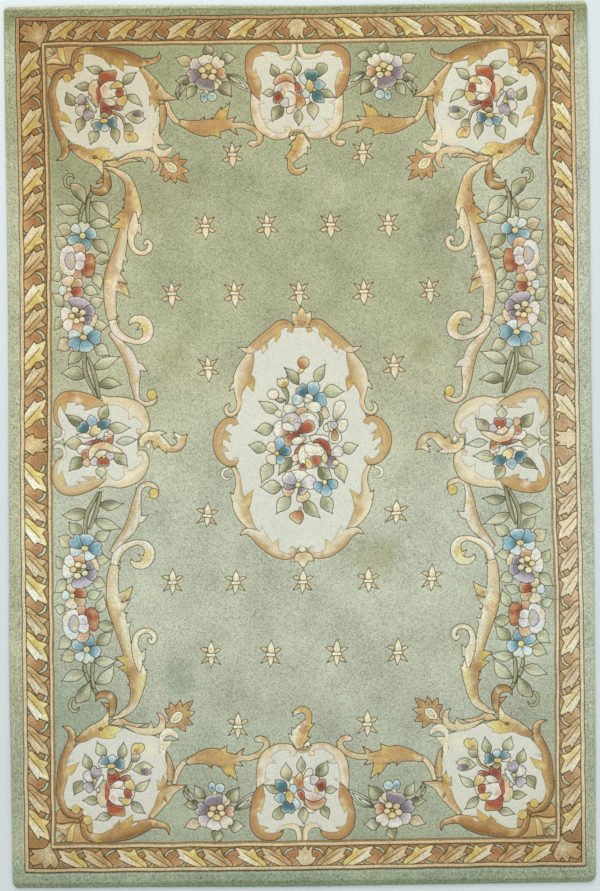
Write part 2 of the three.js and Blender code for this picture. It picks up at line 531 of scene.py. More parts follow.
def drawGrounds():
    pen["piece"] = "margin"
    shape(edgeRing(rugSize["flatInset"]), marginTone, ink=0)
    pen["piece"] = "field"
    # Painted sheen of the lying pile: the field is painted darker and yellower at the top and paler and
    # greener lower down. Its soft patches are partly uneven dye and partly painted light and shade where the
    # pile lies differently
    tone = fade((0, 1250), (0, -1250), "olive reed reed sage celadon celadon willow fern")
    shape(sharpPath([(-784, 1251), (-784, -1251), (784, -1251), (784, 1251)], 8.0),
        spotted(tone, (-540, 1190, 200, "moss"),
        (-720, 900, 180, "moss"), (-500, 740, 150, "olive"), (700, 780, 330, "celadon"),
        (440, 740, 100, "olive"), (-650, 500, 200, "sage"), (760, 250, 300, "celadon"),
        (440, -430, 220, "mist"), (-740, -880, 200, "jade"), (760, -80, 310, "mist"),
        (760, 400, 170, "mist"), (770, -640, 150, "mist"), (740, -930, 130, "fern"),
        (-350, 825, 90, "olive"), (-480, 660, 70, "sage"), (-385, 285, 60, "olive"), (380, 295, 55, "olive"),
        (290, -710, 90, "mist"), (230, -370, 80, "reed"), (100, 790, 70, "sage"), (-375, -760, 60, "jade"),
        (470, -840, 70, "mist")))


# Corner cartouche: pale ground, scroll frame and bouquet, drawn for the top left corner
def drawCartoucheGround():
    ground([(-688, 1186), (-676, 1220), (-630, 1230), (-560, 1225), (-510, 1200), (-470, 1160), (-444, 1110),
        (-425, 1060), (-425, 1005), (-446, 975), (-444, 935), (-478, 921), (-520, 914), (-562, 897),
        (-620, 905), (-690, 936), (-750, 1005), (-758, 1080), (-752, 1130), (-720, 1158)],
        (-480, 960, 30, "ivory"))


def drawFan():
    # Ribs that run from the corner of the guard stripe to the two scroll ends
    patch([(-783, 1246, 1), (-664, 1249, 1), (-664, 1190), (-690, 1165), (-716, 1150), (-740, 1150),
        (-766, 1147, 1), (-778, 1162), (-780, 1190), (-783, 1215)],
        spotted("orange", (-745, 1180, 30, "bark"), (-712, 1215, 20, "tan"), (-760, 1212, 16, "sand")))
    patch([(-783, 1246, 1), (-752, 1246, 1), (-745, 1232), (-756, 1222, 1), (-770, 1216), (-783, 1214, 1)],
        "sage")
    patch([(-783, 1246, 1), (-764, 1243), (-750, 1234), (-752, 1224, 1), (-766, 1226)],
        fade((-780, 1242), (-756, 1226), "ivory tan bark"), ink=0.8)
    patch([(-745, 1244, 1), (-724, 1244, 1), (-720, 1216), (-714, 1190, 1), (-730, 1202), (-740, 1220)],
        fade((-742, 1220), (-720, 1215), "tan gold straw"), ink=0.7)
    patch([(-782, 1204, 1), (-760, 1211), (-740, 1208), (-720, 1190, 1), (-745, 1193), (-764, 1196),
        (-780, 1190, 1)], fade((-760, 1210), (-760, 1194), "straw sand amber"), ink=0.7)
    patch([(-780, 1187), (-762, 1192), (-738, 1190), (-717, 1187), (-707, 1193), (-703, 1180), (-718, 1177),
        (-742, 1175), (-757, 1163), (-766, 1146, 1), (-778, 1160)],
        fade((-780, 1170), (-700, 1190), "orange bark"))
    carve([(-705, 1244), (-704, 1220), (-702, 1196)], ink=0.8, reach=5)


def drawCartoucheFrame():
    arm([(-676, 1182, 3), (-689, 1186, 10), (-690, 1206, 10), (-682, 1227, 11), (-660, 1235, 11),
        (-630, 1236, 12), (-572, 1221, 23), (-545, 1214, 26), (-520, 1209, 22), (-498, 1202, 19),
        (-478, 1196, 14), (-440, 1202, 9), (-427, 1210, 8), (-423, 1229, 0)], "bark", "orange",
        flames=[(-566, 1206, -536, 1166, 34), (-590, 1206, -576, 1183, 14)],
        spots=[(-555, 1187, 20, "gold"), (-540, 1175, 14, "gold"), (-650, 1238, 18, "gold"),
        (-590, 1224, 14, "clay"), (-440, 1192, 16, "sand"), (-470, 1186, 14, "blush"),
        (-660, 1228, 12, "blush")])
    petal(-542, 1206, -518, 1190, 8, "ivory cream", "leaf", 0, 0.3)
    arm([(-704, 1146, 3), (-694, 1156, 8), (-706, 1170, 8), (-726, 1166, 9), (-746, 1153, 11),
        (-759, 1132, 12), (-765, 1104, 13), (-762, 1078, 16), (-757, 1055, 19), (-756, 1030, 19),
        (-754, 1005, 14), (-746, 982, 13), (-733, 960, 14), (-722, 938, 13), (-721, 916, 12), (-730, 900, 8),
        (-757, 891, 0)], "clay", "bark", flames=[(-748, 1036, -700, 1005, 34)],
        spots=[(-716, 1018, 22, "gold"), (-735, 1034, 14, "straw"), (-760, 1100, 14, "orange"),
        (-752, 1112, 10, "sand"), (-714, 905, 12, "sand"), (-728, 893, 12, "blush"), (-724, 950, 16, "tan")])
    petal(-742, 1003, -716, 996, 8, "grey cream", "leaf", 0, 0.5)
    dot((-677, 1184), 15, spotted("gold", (-688, 1180, 12, "sand")))
    dot((-713, 1150), 14, spotted("gold", (-702, 1158, 12, "tan")))
    dot((-684, 1158), 8, "ivory", ink=0.4)


def drawCartoucheSide():
    # The right hand arm of the cartouche, the dagger below it and the small pale curls
    patch([(-428, 1046), (-432, 1010), (-444, 982), (-448, 955), (-447, 925), (-438, 908), (-425, 900),
        (-405, 903), (-390, 918), (-388, 934, 1), (-408, 940, 1), (-427, 968, 1), (-430, 990), (-426, 1020)],
        spotted("ivory", (-410, 920, 18, "blush"), (-432, 950, 18, "blush")), ink=0.6)
    patch([(-434, 939, 1), (-388, 936, 1), (-400, 928), (-416, 923), (-430, 929)], "grey")
    patch([(-424, 1066, 1), (-426, 1040), (-424, 1010), (-428, 968, 1), (-417, 984), (-407, 1010),
        (-402, 1042), (-408, 1066, 1)], fade((-426, 1020), (-404, 1020), "orange tan bark"))
    arm([(-482, 1178, 8), (-466, 1160, 11), (-450, 1138, 15), (-434, 1112, 22), (-416, 1094, 17),
        (-394, 1086, 9), (-362, 1078, 0)], "sand", "orange", flames=[(-440, 1090, -438, 1043, 26)],
        spikes=[(-446, 1090, -455, 1060, 20)], spots=[(-452, 1096, 14, "gold"), (-441, 1062, 16, "gold"),
        (-452, 1070, 12, "straw"), (-444, 1140, 10, "tan"), (-405, 1096, 16, "sand")])
    dot((-432, 1121), 9, "umber", squash=0.55, angle=1.2, ink=0.3)
    carve([(-458, 1158), (-443, 1130), (-432, 1100), (-424, 1070)], ink=0.35, reach=2)


def drawCartoucheFoot():
    # The bottom arm with its gold leaf, the pale scroll and the orange hook that hangs from it
    patch([(-602, 886, 1), (-520, 897), (-484, 885, 1), (-512, 885), (-538, 880), (-559, 868, 1),
        (-584, 873)], fade((-600, 880), (-490, 890), "blush clay blush"))
    arm([(-560, 888, 2), (-512, 907, 10), (-484, 910, 12), (-462, 910, 11), (-443, 899, 12), (-436, 880, 10),
        (-440, 864, 8), (-454, 852, 0)], "sand", "blush", flames=[(-478, 904, -473, 878, 20)],
        spots=[(-470, 905, 16, "blush"), (-436, 870, 12, "peach"), (-525, 905, 14, "blush")])
    arm([(-598, 866, 6), (-592, 838, 11), (-592, 812, 13), (-606, 796, 13), (-624, 794, 11), (-638, 800, 7),
        (-645, 815, 0)], "bark", "orange", spikes=[(-604, 832, -629, 817, 18)],
        spots=[(-602, 836, 12, "rust"), (-598, 800, 10, "sand"), (-590, 850, 12, "tan")])
    patch([(-714, 934, 1), (-698, 944, 1), (-676, 938), (-650, 926), (-610, 931), (-583, 926, 1),
        (-588, 916, 1), (-573, 911), (-562, 901, 1), (-582, 892), (-602, 888), (-603, 860), (-607, 842, 1),
        (-614, 856), (-630, 874), (-662, 890), (-690, 911)],
        spotted(fade((-700, 938), (-575, 910), "umber orange gold straw"), (-684, 908, 16, "blush"),
        (-658, 893, 16, "blush"), (-632, 880, 16, "sand"), (-612, 866, 14, "ivory"),
        (-640, 912, 12, "orange"), (-610, 897, 10, "orange")))
    carve([(-628, 903), (-618, 896), (-602, 888)], ink=0.9)
    dot((-630, 901), 7, "bark", squash=0.7)


def drawCornerBouquet():
    each(leaf, (-650, 1181, -600, 1170, 27, "herb leaf cream bud", 0.04), (-687, 1122, -636, 1122, 29),
        (-500, 1163, -540, 1126, 30, "herb grey bud", 0.05),
        (-481, 1061, -532, 1092, 26, "herb bud cream", 0.1),
        (-715, 1102, -690, 1062, 34, "leaf leaf herb", 0.06),
        (-681, 982, -662, 1026, 32, "herb leaf bud", -0.06),
        (-642, 944, -617, 986, 34, "herb bud bud", -0.08), (-560, 945, -574, 996, 30, "herb leaf bud", 0.06))
    # rose
    petal(-620, 1060, -626, 1144, 32, "sand blush sand", "petal", 0.1)
    patch([(-612, 1162), (-604, 1169), (-578, 1171), (-562, 1171), (-560, 1158), (-566, 1142), (-590, 1137),
        (-610, 1120), (-614, 1134)], fade((-585, 1172), (-600, 1128), "clay rose rose wine"))
    patch([(-620, 1118), (-610, 1122), (-606, 1098), (-609, 1076), (-617, 1070), (-621, 1095)], "rose",
        ink=0.2)
    patch([(-611, 1118), (-590, 1137), (-568, 1140), (-548, 1138), (-533, 1116), (-526, 1092), (-534, 1086),
        (-560, 1090), (-580, 1086), (-603, 1086), (-607, 1100)],
        spotted("shell", (-597, 1116, 13, "peach"), (-580, 1118, 12, "ice"), (-534, 1100, 12, "blush")))
    petal(-578, 1117, -538, 1124, 22, "straw gold straw", "petal", 0.16)
    dot((-549, 1103), 15, spotted("rose", (-552, 1108, 8, "wine")), squash=0.8, angle=1.4)
    each(petal, (-604, 1078, -561, 1064, 24, "peach shell ivory", "petal", 0.08),
        (-527, 1090, -554, 1063, 30, "straw gold straw"))
    patch([(-611, 1056), (-606, 1074), (-590, 1065), (-573, 1058), (-575, 1046), (-578, 1032, 1),
        (-585, 1032), (-596, 1045), (-610, 1037, 1)], fade((-608, 1060), (-578, 1040), "rose wine rose"))
    petal(-576, 1058, -539, 1052, 17, "wine rose")
    # pansy
    each(petal, (-656, 1066, -640, 1098, 13, "shell lilac", "petal", -0.1),
        (-654, 1090, -624, 1042, 14, "shell ice shell"),
        (-662, 1066, -681, 1092, 34, "plum lilac lilac", "heart"),
        (-652, 1062, -684, 1036, 34, "lilac shell lilac"),
        (-656, 1052, -642, 1018, 34, "grape lilac grape", "heart"))
    dot((-651, 1060), 7, "gold")
    # blue flower under the rose
    each(petal, (-597, 1022, -597, 1042, 30, "herb clay", "leaf"),
        (-606, 1014, -640, 1003, 24, "cream ivory"), (-592, 1018, -562, 1028, 20, "cream ivory"),
        (-602, 1008, -634, 991, 28, "teal sky", "heart"),
        (-590, 1010, -559, 1008, 34, "teal teal sky", "heart"), (-600, 1008, -594, 981, 26, "sky ice"))
    dot((-600, 1015), 13, spotted("gold", (-600, 1008, 8, "amber")), squash=0.62)
    # stem with its two buds
    arm([(-576, 1044, 3), (-556, 1034, 4), (-543, 1022, 4), (-536, 1002, 3)], "sand", "bark")
    patch([(-534, 1028, 1), (-519, 1038), (-502, 1044), (-486, 1045), (-474, 1039, 1), (-481, 1029, 1),
        (-469, 1020, 1), (-493, 1005), (-512, 1009)], fade((-530, 1028), (-480, 1020), "bud leaf shell"))
    petal(-508, 1032, -476, 1036, 19, "grape plum", "heart", 0, 0.4)
    dot((-493, 1019), 6, "straw", ink=0.3)
    patch([(-537, 998), (-530, 1005), (-518, 1003), (-509, 984), (-522, 978), (-536, 980)],
        fade((-530, 1003), (-518, 980), "herb bud"))
    patch([(-536, 977), (-524, 981), (-508, 977), (-494, 961), (-502, 947), (-514, 949, 1), (-524, 946),
        (-535, 958)], spotted("straw", (-520, 970, 12, "rose"), (-510, 955, 14, "gold")))


def drawTipFlower():
    # The rust palmette that points into the field below the cartouche
    tips = [(-365, 912), (-340, 890), (-333, 851), (-340, 816), (-379, 815), (-413, 820), (-428, 841)]
    middle = np.array([-392, 868])
    body = [disc((-390, 868), 28)] + [formed("leaf", middle, tip, 24) for tip in tips]
    body.append(formed("spike", (-398, 880), (-436, 903), 34))
    shape(body, spotted("orange", (-358, 882, 16, "rust"), (-384, 896, 14, "rust"), (-420, 856, 16, "rust"),
        (-392, 834, 12, "rust"), (-352, 832, 14, "bark"), (-338, 852, 10, "sand"), (-410, 888, 16, "peach")))
    for one, other in zip(tips, tips[1:]):
        way = np.add(one, other) / 2 - middle
        carve([middle + 0.55 * way, middle + 0.95 * way], ink=0.6)
    patch([(-412, 882), (-397, 886), (-380, 879), (-371, 864), (-375, 851), (-393, 851), (-406, 862)],
        "ivory")
    petal(-404, 880, -378, 856, 13, "straw", "leaf", 0, 0.5)


def drawTail():
    # Acanthus tail that joins the corner cartouche to the medallion at the middle of the short side
    arm([(-404, 1074, 7), (-396, 1045, 9), (-380, 1018, 9), (-362, 1001, 7), (-344, 989, 0)], "blush",
        "sand")
    arm([(-364, 1010, 7), (-345, 1001, 13), (-318, 993, 20), (-285, 989, 27), (-250, 995, 23),
        (-220, 997, 16), (-196, 996, 9), (-170, 996, 9), (-145, 988, 9), (-122, 973, 10), (-114, 952, 9),
        (-124, 939, 9), (-141, 938, 11), (-150, 943, 4)], "clay", "orange",
        flames=[(-236, 1004, -204, 1067, 36), (-246, 1002, -230, 1056, 30), (-268, 984, -236, 956, 36)],
        spikes=[(-275, 1004, -261, 1023, 16), (-298, 1006, -284, 1026, 16), (-214, 1006, -186, 1022, 20),
        (-204, 988, -182, 964, 18)], spots=[(-228, 1038, 24, "gold"), (-248, 966, 22, "gold"),
        (-268, 992, 26, "orange"), (-210, 1020, 14, "clay"), (-206, 1058, 12, "straw"),
        (-186, 1002, 26, "sand"), (-160, 994, 22, "blush"), (-124, 960, 26, "sand"),
        (-140, 942, 14, "ivory"), (-350, 1004, 14, "sand")])


def drawSprayLeaves():
    each(leaf, (-276, 1250, -268, 1212, 36, "herb leaf", -0.05),
        (-371, 1208, -320, 1194, 36, "leaf blush ivory", 0.04),
        (-189, 1208, -236, 1200, 37, "herb herb cream cream", 0.06),
        (-371, 1137, -324, 1143, 32, "herb herb bud", 0.05),
        (-338, 1081, -308, 1119, 31, "herb leaf cream", -0.08),
        (-202, 1089, -246, 1126, 42, "herb herb leaf", 0.12))
    each(petal, (-371, 1080, -349, 1130, 15, "leaf grey", "leaf"),
        (-363, 1092, -341, 1128, 11, "leaf grey", "leaf"), (-376, 1092, -361, 1126, 9, "leaf grey", "leaf"),
        (-219, 1157, -140, 1097, 33, "mist grey mist", "leaf", 0.04),
        (-217, 1154, -150, 1106, 20, "sage sage", "leaf", 0.05),
        (-212, 1152, -170, 1125, 10, "mist cream", "leaf"))


def drawRosette(inner, heart, heartColour):
    for x, y, radius, colour in inner:
        dot((x, y), radius, spotted(colour, (x, y, radius * 0.6, "ivory")), squash=0.86)
    dot(heart, 5, heartColour)


def drawSpray():
    drawSprayLeaves()
    each(petal, (-288, 1172, -327, 1200, 42, "plum lilac shell"),
        (-277, 1178, -280, 1219, 52, "lilac shell shell"),
        (-260, 1174, -231, 1206, 42, "peach shell ivory", "heart"),
        (-250, 1160, -217, 1160, 36, "rose peach blush", "heart"),
        (-252, 1142, -234, 1121, 22, "shell blush"), (-264, 1140, -250, 1107, 34, "plum blush shell"),
        (-295, 1160, -337, 1148, 40, "grape plum lilac", "heart"),
        (-273, 1150, -289, 1107, 62, "grape plum plum lilac"),
        (-272, 1108, -282, 1098, 14, "straw", "petal", 0, 0.6))
    dot((-285, 1084), 16, spotted("ice", (-285, 1086, 13, "sky"), (-284, 1088, 8, "teal")), squash=0.72,
        angle=1.5)
    dot((-260, 1087), 15, spotted("ice", (-264, 1090, 10, "sky"), (-252, 1076, 10, "bud")))
    drawRosette([(-291, 1170, 12, "straw"), (-272, 1179, 13, "gold"), (-256, 1166, 10, "straw"),
        (-261, 1148, 12, "sand"), (-285, 1151, 12, "peach")], (-272, 1163), "clay")


def drawVine():
    # The long stem that hangs from the cartouche down to the medallion on the long side
    arm([(-586, 352, 6), (-535, 290, 18), (-520, 256, 20), (-512, 225, 19), (-511, 195, 15), (-508, 165, 10),
        (-503, 143, 8), (-488, 129, 8), (-466, 128, 8), (-450, 138, 8), (-446, 156, 4)], "shell", "tan",
        flames=[(-508, 246, -471, 230, 30)], spots=[(-505, 270, 16, "sand"), (-540, 315, 16, "tan"),
        (-500, 200, 14, "gold"), (-470, 128, 16, "blush")])
    arm([(-604, 868, 4), (-580, 865, 6), (-556, 853, 10), (-534, 835, 13), (-522, 812, 15), (-516, 785, 20),
        (-513, 755, 26), (-510, 730, 24), (-520, 705, 24), (-532, 680, 18), (-544, 650, 16), (-553, 615, 20),
        (-573, 545, 24), (-580, 510, 24), (-584, 470, 19), (-583, 430, 18), (-579, 396, 14), (-566, 366, 10),
        (-548, 345, 0)], "ivory", "orange", soft=0.8,
        flames=[(-512, 745, -481, 721, 36), (-530, 728, -573, 711, 34), (-532, 702, -582, 681, 36),
        (-562, 500, -520, 459, 38)], spikes=[(-530, 752, -546, 740, 16), (-532, 772, -545, 764, 12),
        (-545, 590, -529, 571, 18), (-558, 562, -539, 542, 18), (-558, 525, -528, 503, 26),
        (-572, 396, -556, 382, 16), (-570, 412, -558, 400, 10)],
        spots=[(-524, 808, 20, "orange"), (-526, 785, 14, "rust"), (-522, 755, 18, "rust"),
        (-524, 724, 20, "rust"), (-508, 808, 12, "gold"), (-500, 780, 16, "gold"), (-492, 748, 20, "gold"),
        (-562, 705, 24, "gold"), (-566, 682, 26, "gold"), (-586, 512, 14, "straw"),
        (-566, 540, 16, "orange"), (-545, 500, 20, "rust"), (-530, 478, 26, "gold"), (-596, 480, 26, "sand"),
        (-584, 440, 30, "blush"), (-580, 400, 24, "sand"), (-555, 850, 16, "blush"),
        (-585, 866, 14, "sand")])
    arm([(-506, 728, 4), (-508, 700, 13), (-512, 672, 16), (-518, 645, 10), (-513, 617, 9), (-498, 602, 8),
        (-478, 600, 8), (-462, 609, 8), (-457, 626, 8), (-468, 637, 7), (-475, 624, 4)], "ivory", "blush",
        spikes=[(-500, 690, -484, 655, 26)], spots=[(-512, 668, 18, "sand"), (-480, 600, 16, "blush"),
        (-460, 615, 12, "ivory")])
    arm([(-578, 392, 12), (-570, 364, 14), (-552, 343, 12), (-525, 328, 9), (-497, 322, 8), (-472, 335, 14),
        (-467, 362, 18), (-480, 388, 15), (-502, 394, 12), (-519, 387, 9), (-525, 373, 0)], "blush", "shell",
        spikes=[(-486, 372, -502, 358, 14)], spots=[(-474, 362, 22, "gold"), (-484, 388, 18, "straw"),
        (-515, 394, 12, "straw"), (-500, 324, 16, "blush")])
    carve([(-541, 829), (-526, 827), (-511, 829)], ink=0.9)
    carve([(-580, 545), (-584, 540), (-578, 534)], ink=0.6)
    dot((-458, 157), 15, spotted("gold", (-450, 168, 10, "straw")), squash=1.15)


def drawGarlandTop():
    arm([(-640, 796, 5), (-655, 768, 6), (-668, 745, 6), (-676, 718, 6), (-677, 700, 4)], "leaf", "herb")
    arm([(-650, 775, 5), (-654, 745, 6), (-652, 715, 6), (-650, 690, 4)], "leaf", "herb")
    arm([(-694, 833, 1), (-702, 844, 4), (-714, 846, 5), (-725, 832, 5), (-721, 812, 5), (-708, 806, 4)],
        "leaf", "leaf")
    each(leaf, (-662, 757, -708, 821, 40, "sand herb herb", 0.07),
        (-750, 750, -674, 728, 36, "leaf bud cream", 0.03),
        (-587, 706, -646, 762, 38, "herb bud ivory", 0.12),
        (-579, 691, -650, 691, 33, "herb bud cream", 0.04),
        (-752, 685, -700, 671, 40, "leaf sand bud", 0.04), (-762, 652, -716, 620, 42, "leaf bud bud", 0.03),
        (-591, 604, -640, 640, 38, "herb leaf bud", 0.06))
    each(petal, (-672, 662, -660, 699, 38, "ice cream bud", "heart"),
        (-678, 664, -702, 690, 30, "ice cream"), (-664, 656, -626, 668, 38, "teal sky ice"),
        (-678, 652, -716, 636, 30, "sky sky ice"), (-668, 650, -654, 608, 36, "teal sky teal", "leaf"))
    dot((-670, 656), 10, spotted("straw", (-668, 653, 6, "gold")))
    # white rose with its red back petals
    each(leaf, (-580, 585, -634, 578, 36, "bud leaf herb", 0.05),
        (-775, 521, -732, 532, 34, "leaf bud cream", -0.08),
        (-613, 490, -640, 542, 34, "herb bud bud", 0.08))
    each(petal, (-668, 584, -698, 630, 40, "clay peach blush", "petal", -0.1),
        (-680, 556, -700, 520, 46, "rose peach clay"))
    patch([(-658, 594), (-640, 598), (-631, 578), (-631, 550), (-642, 529), (-660, 526), (-670, 545),
        (-662, 575)], spotted("rose", (-640, 575, 18, "clay"), (-662, 555, 14, "wine"),
        (-645, 540, 14, "clay")))
    petals = [("petal", (-702, 578), (-728, 622), 48), ("petal", (-702, 578), (-747, 592), 38),
        ("petal", (-702, 575), (-747, 558), 40), ("petal", (-702, 575), (-722, 533), 44),
        ("petal", (-706, 580), (-660, 590), 40), ("petal", (-706, 572), (-664, 562), 38)]
    shape([formed(*row) for row in petals], spotted("shell", (-735, 560, 18, "blush"),
        (-672, 582, 14, "lilac"), (-675, 565, 12, "lilac"), (-725, 600, 12, "ice"), (-690, 602, 12, "ice")))
    patch([(-705, 605), (-725, 587), (-720, 562), (-707, 549), (-697, 556), (-692, 575), (-696, 595)],
        spotted("lilac", (-703, 578, 9, "gold"), (-704, 590, 7, "straw"), (-702, 565, 7, "gold")))
    carve([(-694, 577), (-680, 578), (-664, 576)], ink=0.7, reach=2)
    carve([(-722, 583), (-735, 582), (-744, 581)], ink=0.4, reach=2)


def drawGarlandLow():
    each(leaf, (-622, 475, -668, 490, 32, "leaf bud mist", 0.06),
        (-774, 475, -728, 436, 40, "leaf bud bud", -0.02), (-605, 456, -648, 436, 38, "herb bud sand", 0.04),
        (-768, 364, -734, 400, 38, "bud leaf bud", -0.06), (-594, 375, -640, 366, 36, "herb sand bud", 0.1))
    each(petal, (-709, 492, -718, 530, 40, "shell blush shell"),
        (-704, 492, -672, 516, 30, "orange clay sand"), (-714, 489, -747, 483, 31, "shell ice shell"),
        (-711, 482, -713, 449, 33, "peach blush sand"), (-705, 486, -666, 474, 34, "wine rose clay"))
    dot((-711, 488), 8, "straw")
    # second rosette
    each(petal, (-686, 418, -674, 464, 70, "grape plum lilac lilac"),
        (-662, 402, -629, 382, 48, "plum blush blush"), (-670, 416, -632, 426, 38, "grape plum lilac"),
        (-670, 402, -646, 386, 34, "grape plum"), (-696, 408, -744, 410, 48, "lilac shell shell"),
        (-694, 400, -727, 361, 42, "blush shell shell"), (-686, 394, -683, 352, 42, "rose peach blush"))
    drawRosette([(-694, 425, 12, "straw"), (-706, 405, 11, "gold"), (-670, 417, 11, "sand"),
        (-673, 395, 10, "sand"), (-691, 390, 11, "straw")], (-687, 405), "umber")
    # lower blue flower
    each(leaf, (-755, 302, -712, 334, 46, "leaf blush bud", 0.06),
        (-591, 285, -636, 306, 40, "leaf bud cream", 0.08),
        (-717, 255, -674, 292, 38, "leaf leaf bud", -0.05))
    each(petal, (-664, 344, -646, 374, 40, "cream ice ice"), (-676, 342, -717, 350, 34, "cream ice bud"),
        (-656, 342, -614, 338, 46, "teal sky sky", "heart"),
        (-676, 336, -708, 304, 46, "teal sky sky", "heart"), (-666, 330, -656, 291, 46, "sky sky ice"))
    dot((-669, 338), 11, spotted("straw", (-668, 336, 7, "gold")), squash=0.8)
    # twisted stem with its four leaves
    each(leaf, (-561, 275, -642, 240, 36, "herb bud ivory", 0.02),
        (-738, 227, -660, 219, 44, "herb leaf bud", -0.04),
        (-556, 190, -628, 190, 36, "herb herb bud", 0.06))
    arm([(-655, 276, 3), (-645, 246, 6), (-636, 212, 7), (-629, 180, 6), (-624, 148, 4)], "leaf", "herb")
    arm([(-663, 292, 4), (-667, 255, 6), (-662, 218, 7), (-630, 150, 4)], "herb", "leaf")


# Medallion at the middle of a short side, drawn for the top one
def armPair(width, spine, left, right, flames, spots, soft):
    # An arm and the same one on the other side, where x is counted back from width
    def other(rows):
        return [(width - x, *rest) for x, *rest in rows]

    arm(spine, left, right, flames, (), spots, soft)
    flames = [(width - x0, y0, width - x1, y1, wide) for x0, y0, x1, y1, wide in flames]
    arm(other(spine), right, left, flames, (), other(spots), soft)


def drawShortMedallionFrame():
    ground([(-148, 1150), (-150, 1205), (-128, 1234), (-90, 1234), (-56, 1221), (-30, 1203), (2, 1212),
        (34, 1203), (100, 1234), (140, 1232), (158, 1200), (154, 1150), (136, 1100), (136, 1045), (122, 995),
        (90, 962), (50, 960), (0, 976), (-45, 960), (-95, 962), (-124, 995), (-134, 1045), (-138, 1100)])
    arm([(-4, 1249, 8), (-6, 1225, 9), (-18, 1210, 10), (-36, 1207, 8), (-56, 1214, 0)], "sand", "ivory",
        ink=0.7)
    arm([(14, 1249, 8), (16, 1226, 9), (28, 1210, 10), (68, 1211, 6), (88, 1224, 0)], "ivory", "sand",
        ink=0.7)
    armPair(6, [(-136, 1100, 4), (-129, 1075, 13), (-127, 1045, 14), (-122, 1015, 15), (-110, 990, 15),
        (-92, 973, 13), (-68, 961, 11), (-44, 961, 10), (-27, 968, 9), (-24, 983, 8), (-36, 985, 5)],
        "shell", "sand", [(-120, 1066, -98, 1065, 15), (-108, 1001, -77, 1013, 20)],
        [(-135, 1040, 18, "tan"), (-100, 962, 16, "tan"), (-30, 985, 12, "straw"), (-108, 985, 16, "blush"),
        (-60, 952, 16, "tan")], 1.0)
    armPair(12, [(-52, 1221, 0), (-66, 1232, 9), (-94, 1237, 10), (-122, 1231, 12), (-140, 1212, 14),
        (-146, 1185, 12), (-146, 1162, 10), (-133, 1138, 20), (-126, 1112, 19), (-121, 1092, 10),
        (-112, 1075, 0)], "orange", "rust", [(-132, 1216, -98, 1213, 16), (-126, 1140, -125, 1170, 20)],
        [(-112, 1212, 16, "gold"), (-130, 1195, 12, "tan"), (-123, 1158, 16, "straw"),
        (-116, 1132, 14, "sand"), (-143, 1165, 14, "tan")], 1.2)


def drawShortMedallionFoot():
    # The arch under the frame with the acanthus and the hook that hang from it
    arm([(-22, 958, 4), (-14, 972, 4), (2, 978, 4), (18, 972, 4), (32, 954, 3)], "tan", "orange")
    petal(0, 962, -22, 951, 14, "tan ivory ivory")
    arm([(10, 968, 9), (14, 945, 22), (8, 922, 24), (-6, 902, 19), (-18, 882, 10), (-18, 862, 10),
        (-6, 849, 11), (12, 850, 10), (32, 868, 0)], "ivory", "gold",
        flames=[(-2, 944, -24, 934, 18), (0, 918, -39, 892, 30), (24, 944, 45, 918, 22),
        (16, 930, 33, 899, 26)], spikes=[(14, 850, 34, 856, 16)],
        spots=[(12, 950, 18, "orange"), (8, 928, 20, "orange"), (-6, 906, 20, "rust"),
        (-18, 880, 18, "orange"), (-16, 860, 20, "orange"), (0, 846, 20, "orange"), (-32, 900, 16, "gold"),
        (-14, 936, 16, "gold"), (36, 925, 12, "cream"), (30, 866, 12, "cream")])


def drawShortMedallionBouquet():
    each(leaf, (-75, 1185, -54, 1147, 30, "herb leaf bud", 0.05), (-1, 1201, 3, 1148, 32, "herb bud cream"))
    petal(66, 1146, 92, 1184, 34, "herb leaf grey", "petal", 0.08)
    each(leaf, (120, 1081, 70, 1100, 27, "bud herb bud", 0.05), (-103, 1096, -66, 1099, 25, "herb bud bud"),
        (-74, 1010, -42, 1058, 38, "herb herb bud", -0.04), (7, 996, 5, 1044, 29, "bud leaf bud"),
        (54, 1014, 46, 1068, 37, "herb sand cream", 0.05))
    # rose
    each(petal, (0, 1068, -28, 1031, 22, "blush shell"),
        (-4, 1128, -34, 1166, 40, "shell cream", "petal", 0.1))
    arm([(-64, 1122, 8), (-52, 1140, 13), (-30, 1147, 13), (-14, 1138, 10), (-6, 1124, 3)], "blush", "rose",
        soft=1.2)
    patch([(-68, 1112), (-54, 1126), (-30, 1133), (-10, 1126), (3, 1106), (5, 1080), (-4, 1060), (-26, 1052),
        (-47, 1058), (-60, 1075)], spotted("shell", (-30, 1125, 20, "peach"), (-20, 1090, 14, "ice"),
        (-50, 1115, 12, "lilac"), (-2, 1080, 14, "blush")))
    each(petal, (-44, 1112, -41, 1080, 16, "straw gold", "leaf", 0, 0.6),
        (-56, 1102, -56, 1063, 32, "rose wine rose", "heart"), (-28, 1080, -42, 1052, 28, "shell lilac"))
    arm([(-26, 1102, 1), (-12, 1098, 2), (0, 1086, 1)], "lilac", "blush", ink=0.6)
    each(petal, (16, 1096, 36, 1058, 28, "shell ivory shell"), (2, 1128, 12, 1094, 21, "rose rose wine"))
    patch([(4, 1095), (18, 1088), (30, 1067), (20, 1052), (8, 1041), (1, 1054)],
        spotted("clay", (10, 1075, 14, "rose"), (12, 1048, 12, "blush")))
    # blue flower
    each(petal, (36, 1116, 18, 1155, 28, "cream ice lilac"), (36, 1112, 30, 1078, 24, "cream ice sky"),
        (46, 1130, 50, 1168, 44, "teal teal sky", "heart"), (52, 1119, 93, 1120, 34, "sky sky ice", "leaf"),
        (52, 1100, 88, 1064, 36, "teal teal sky", "leaf"),
        (48, 1094, 40, 1140, 25, "amber gold straw", "leaf"))


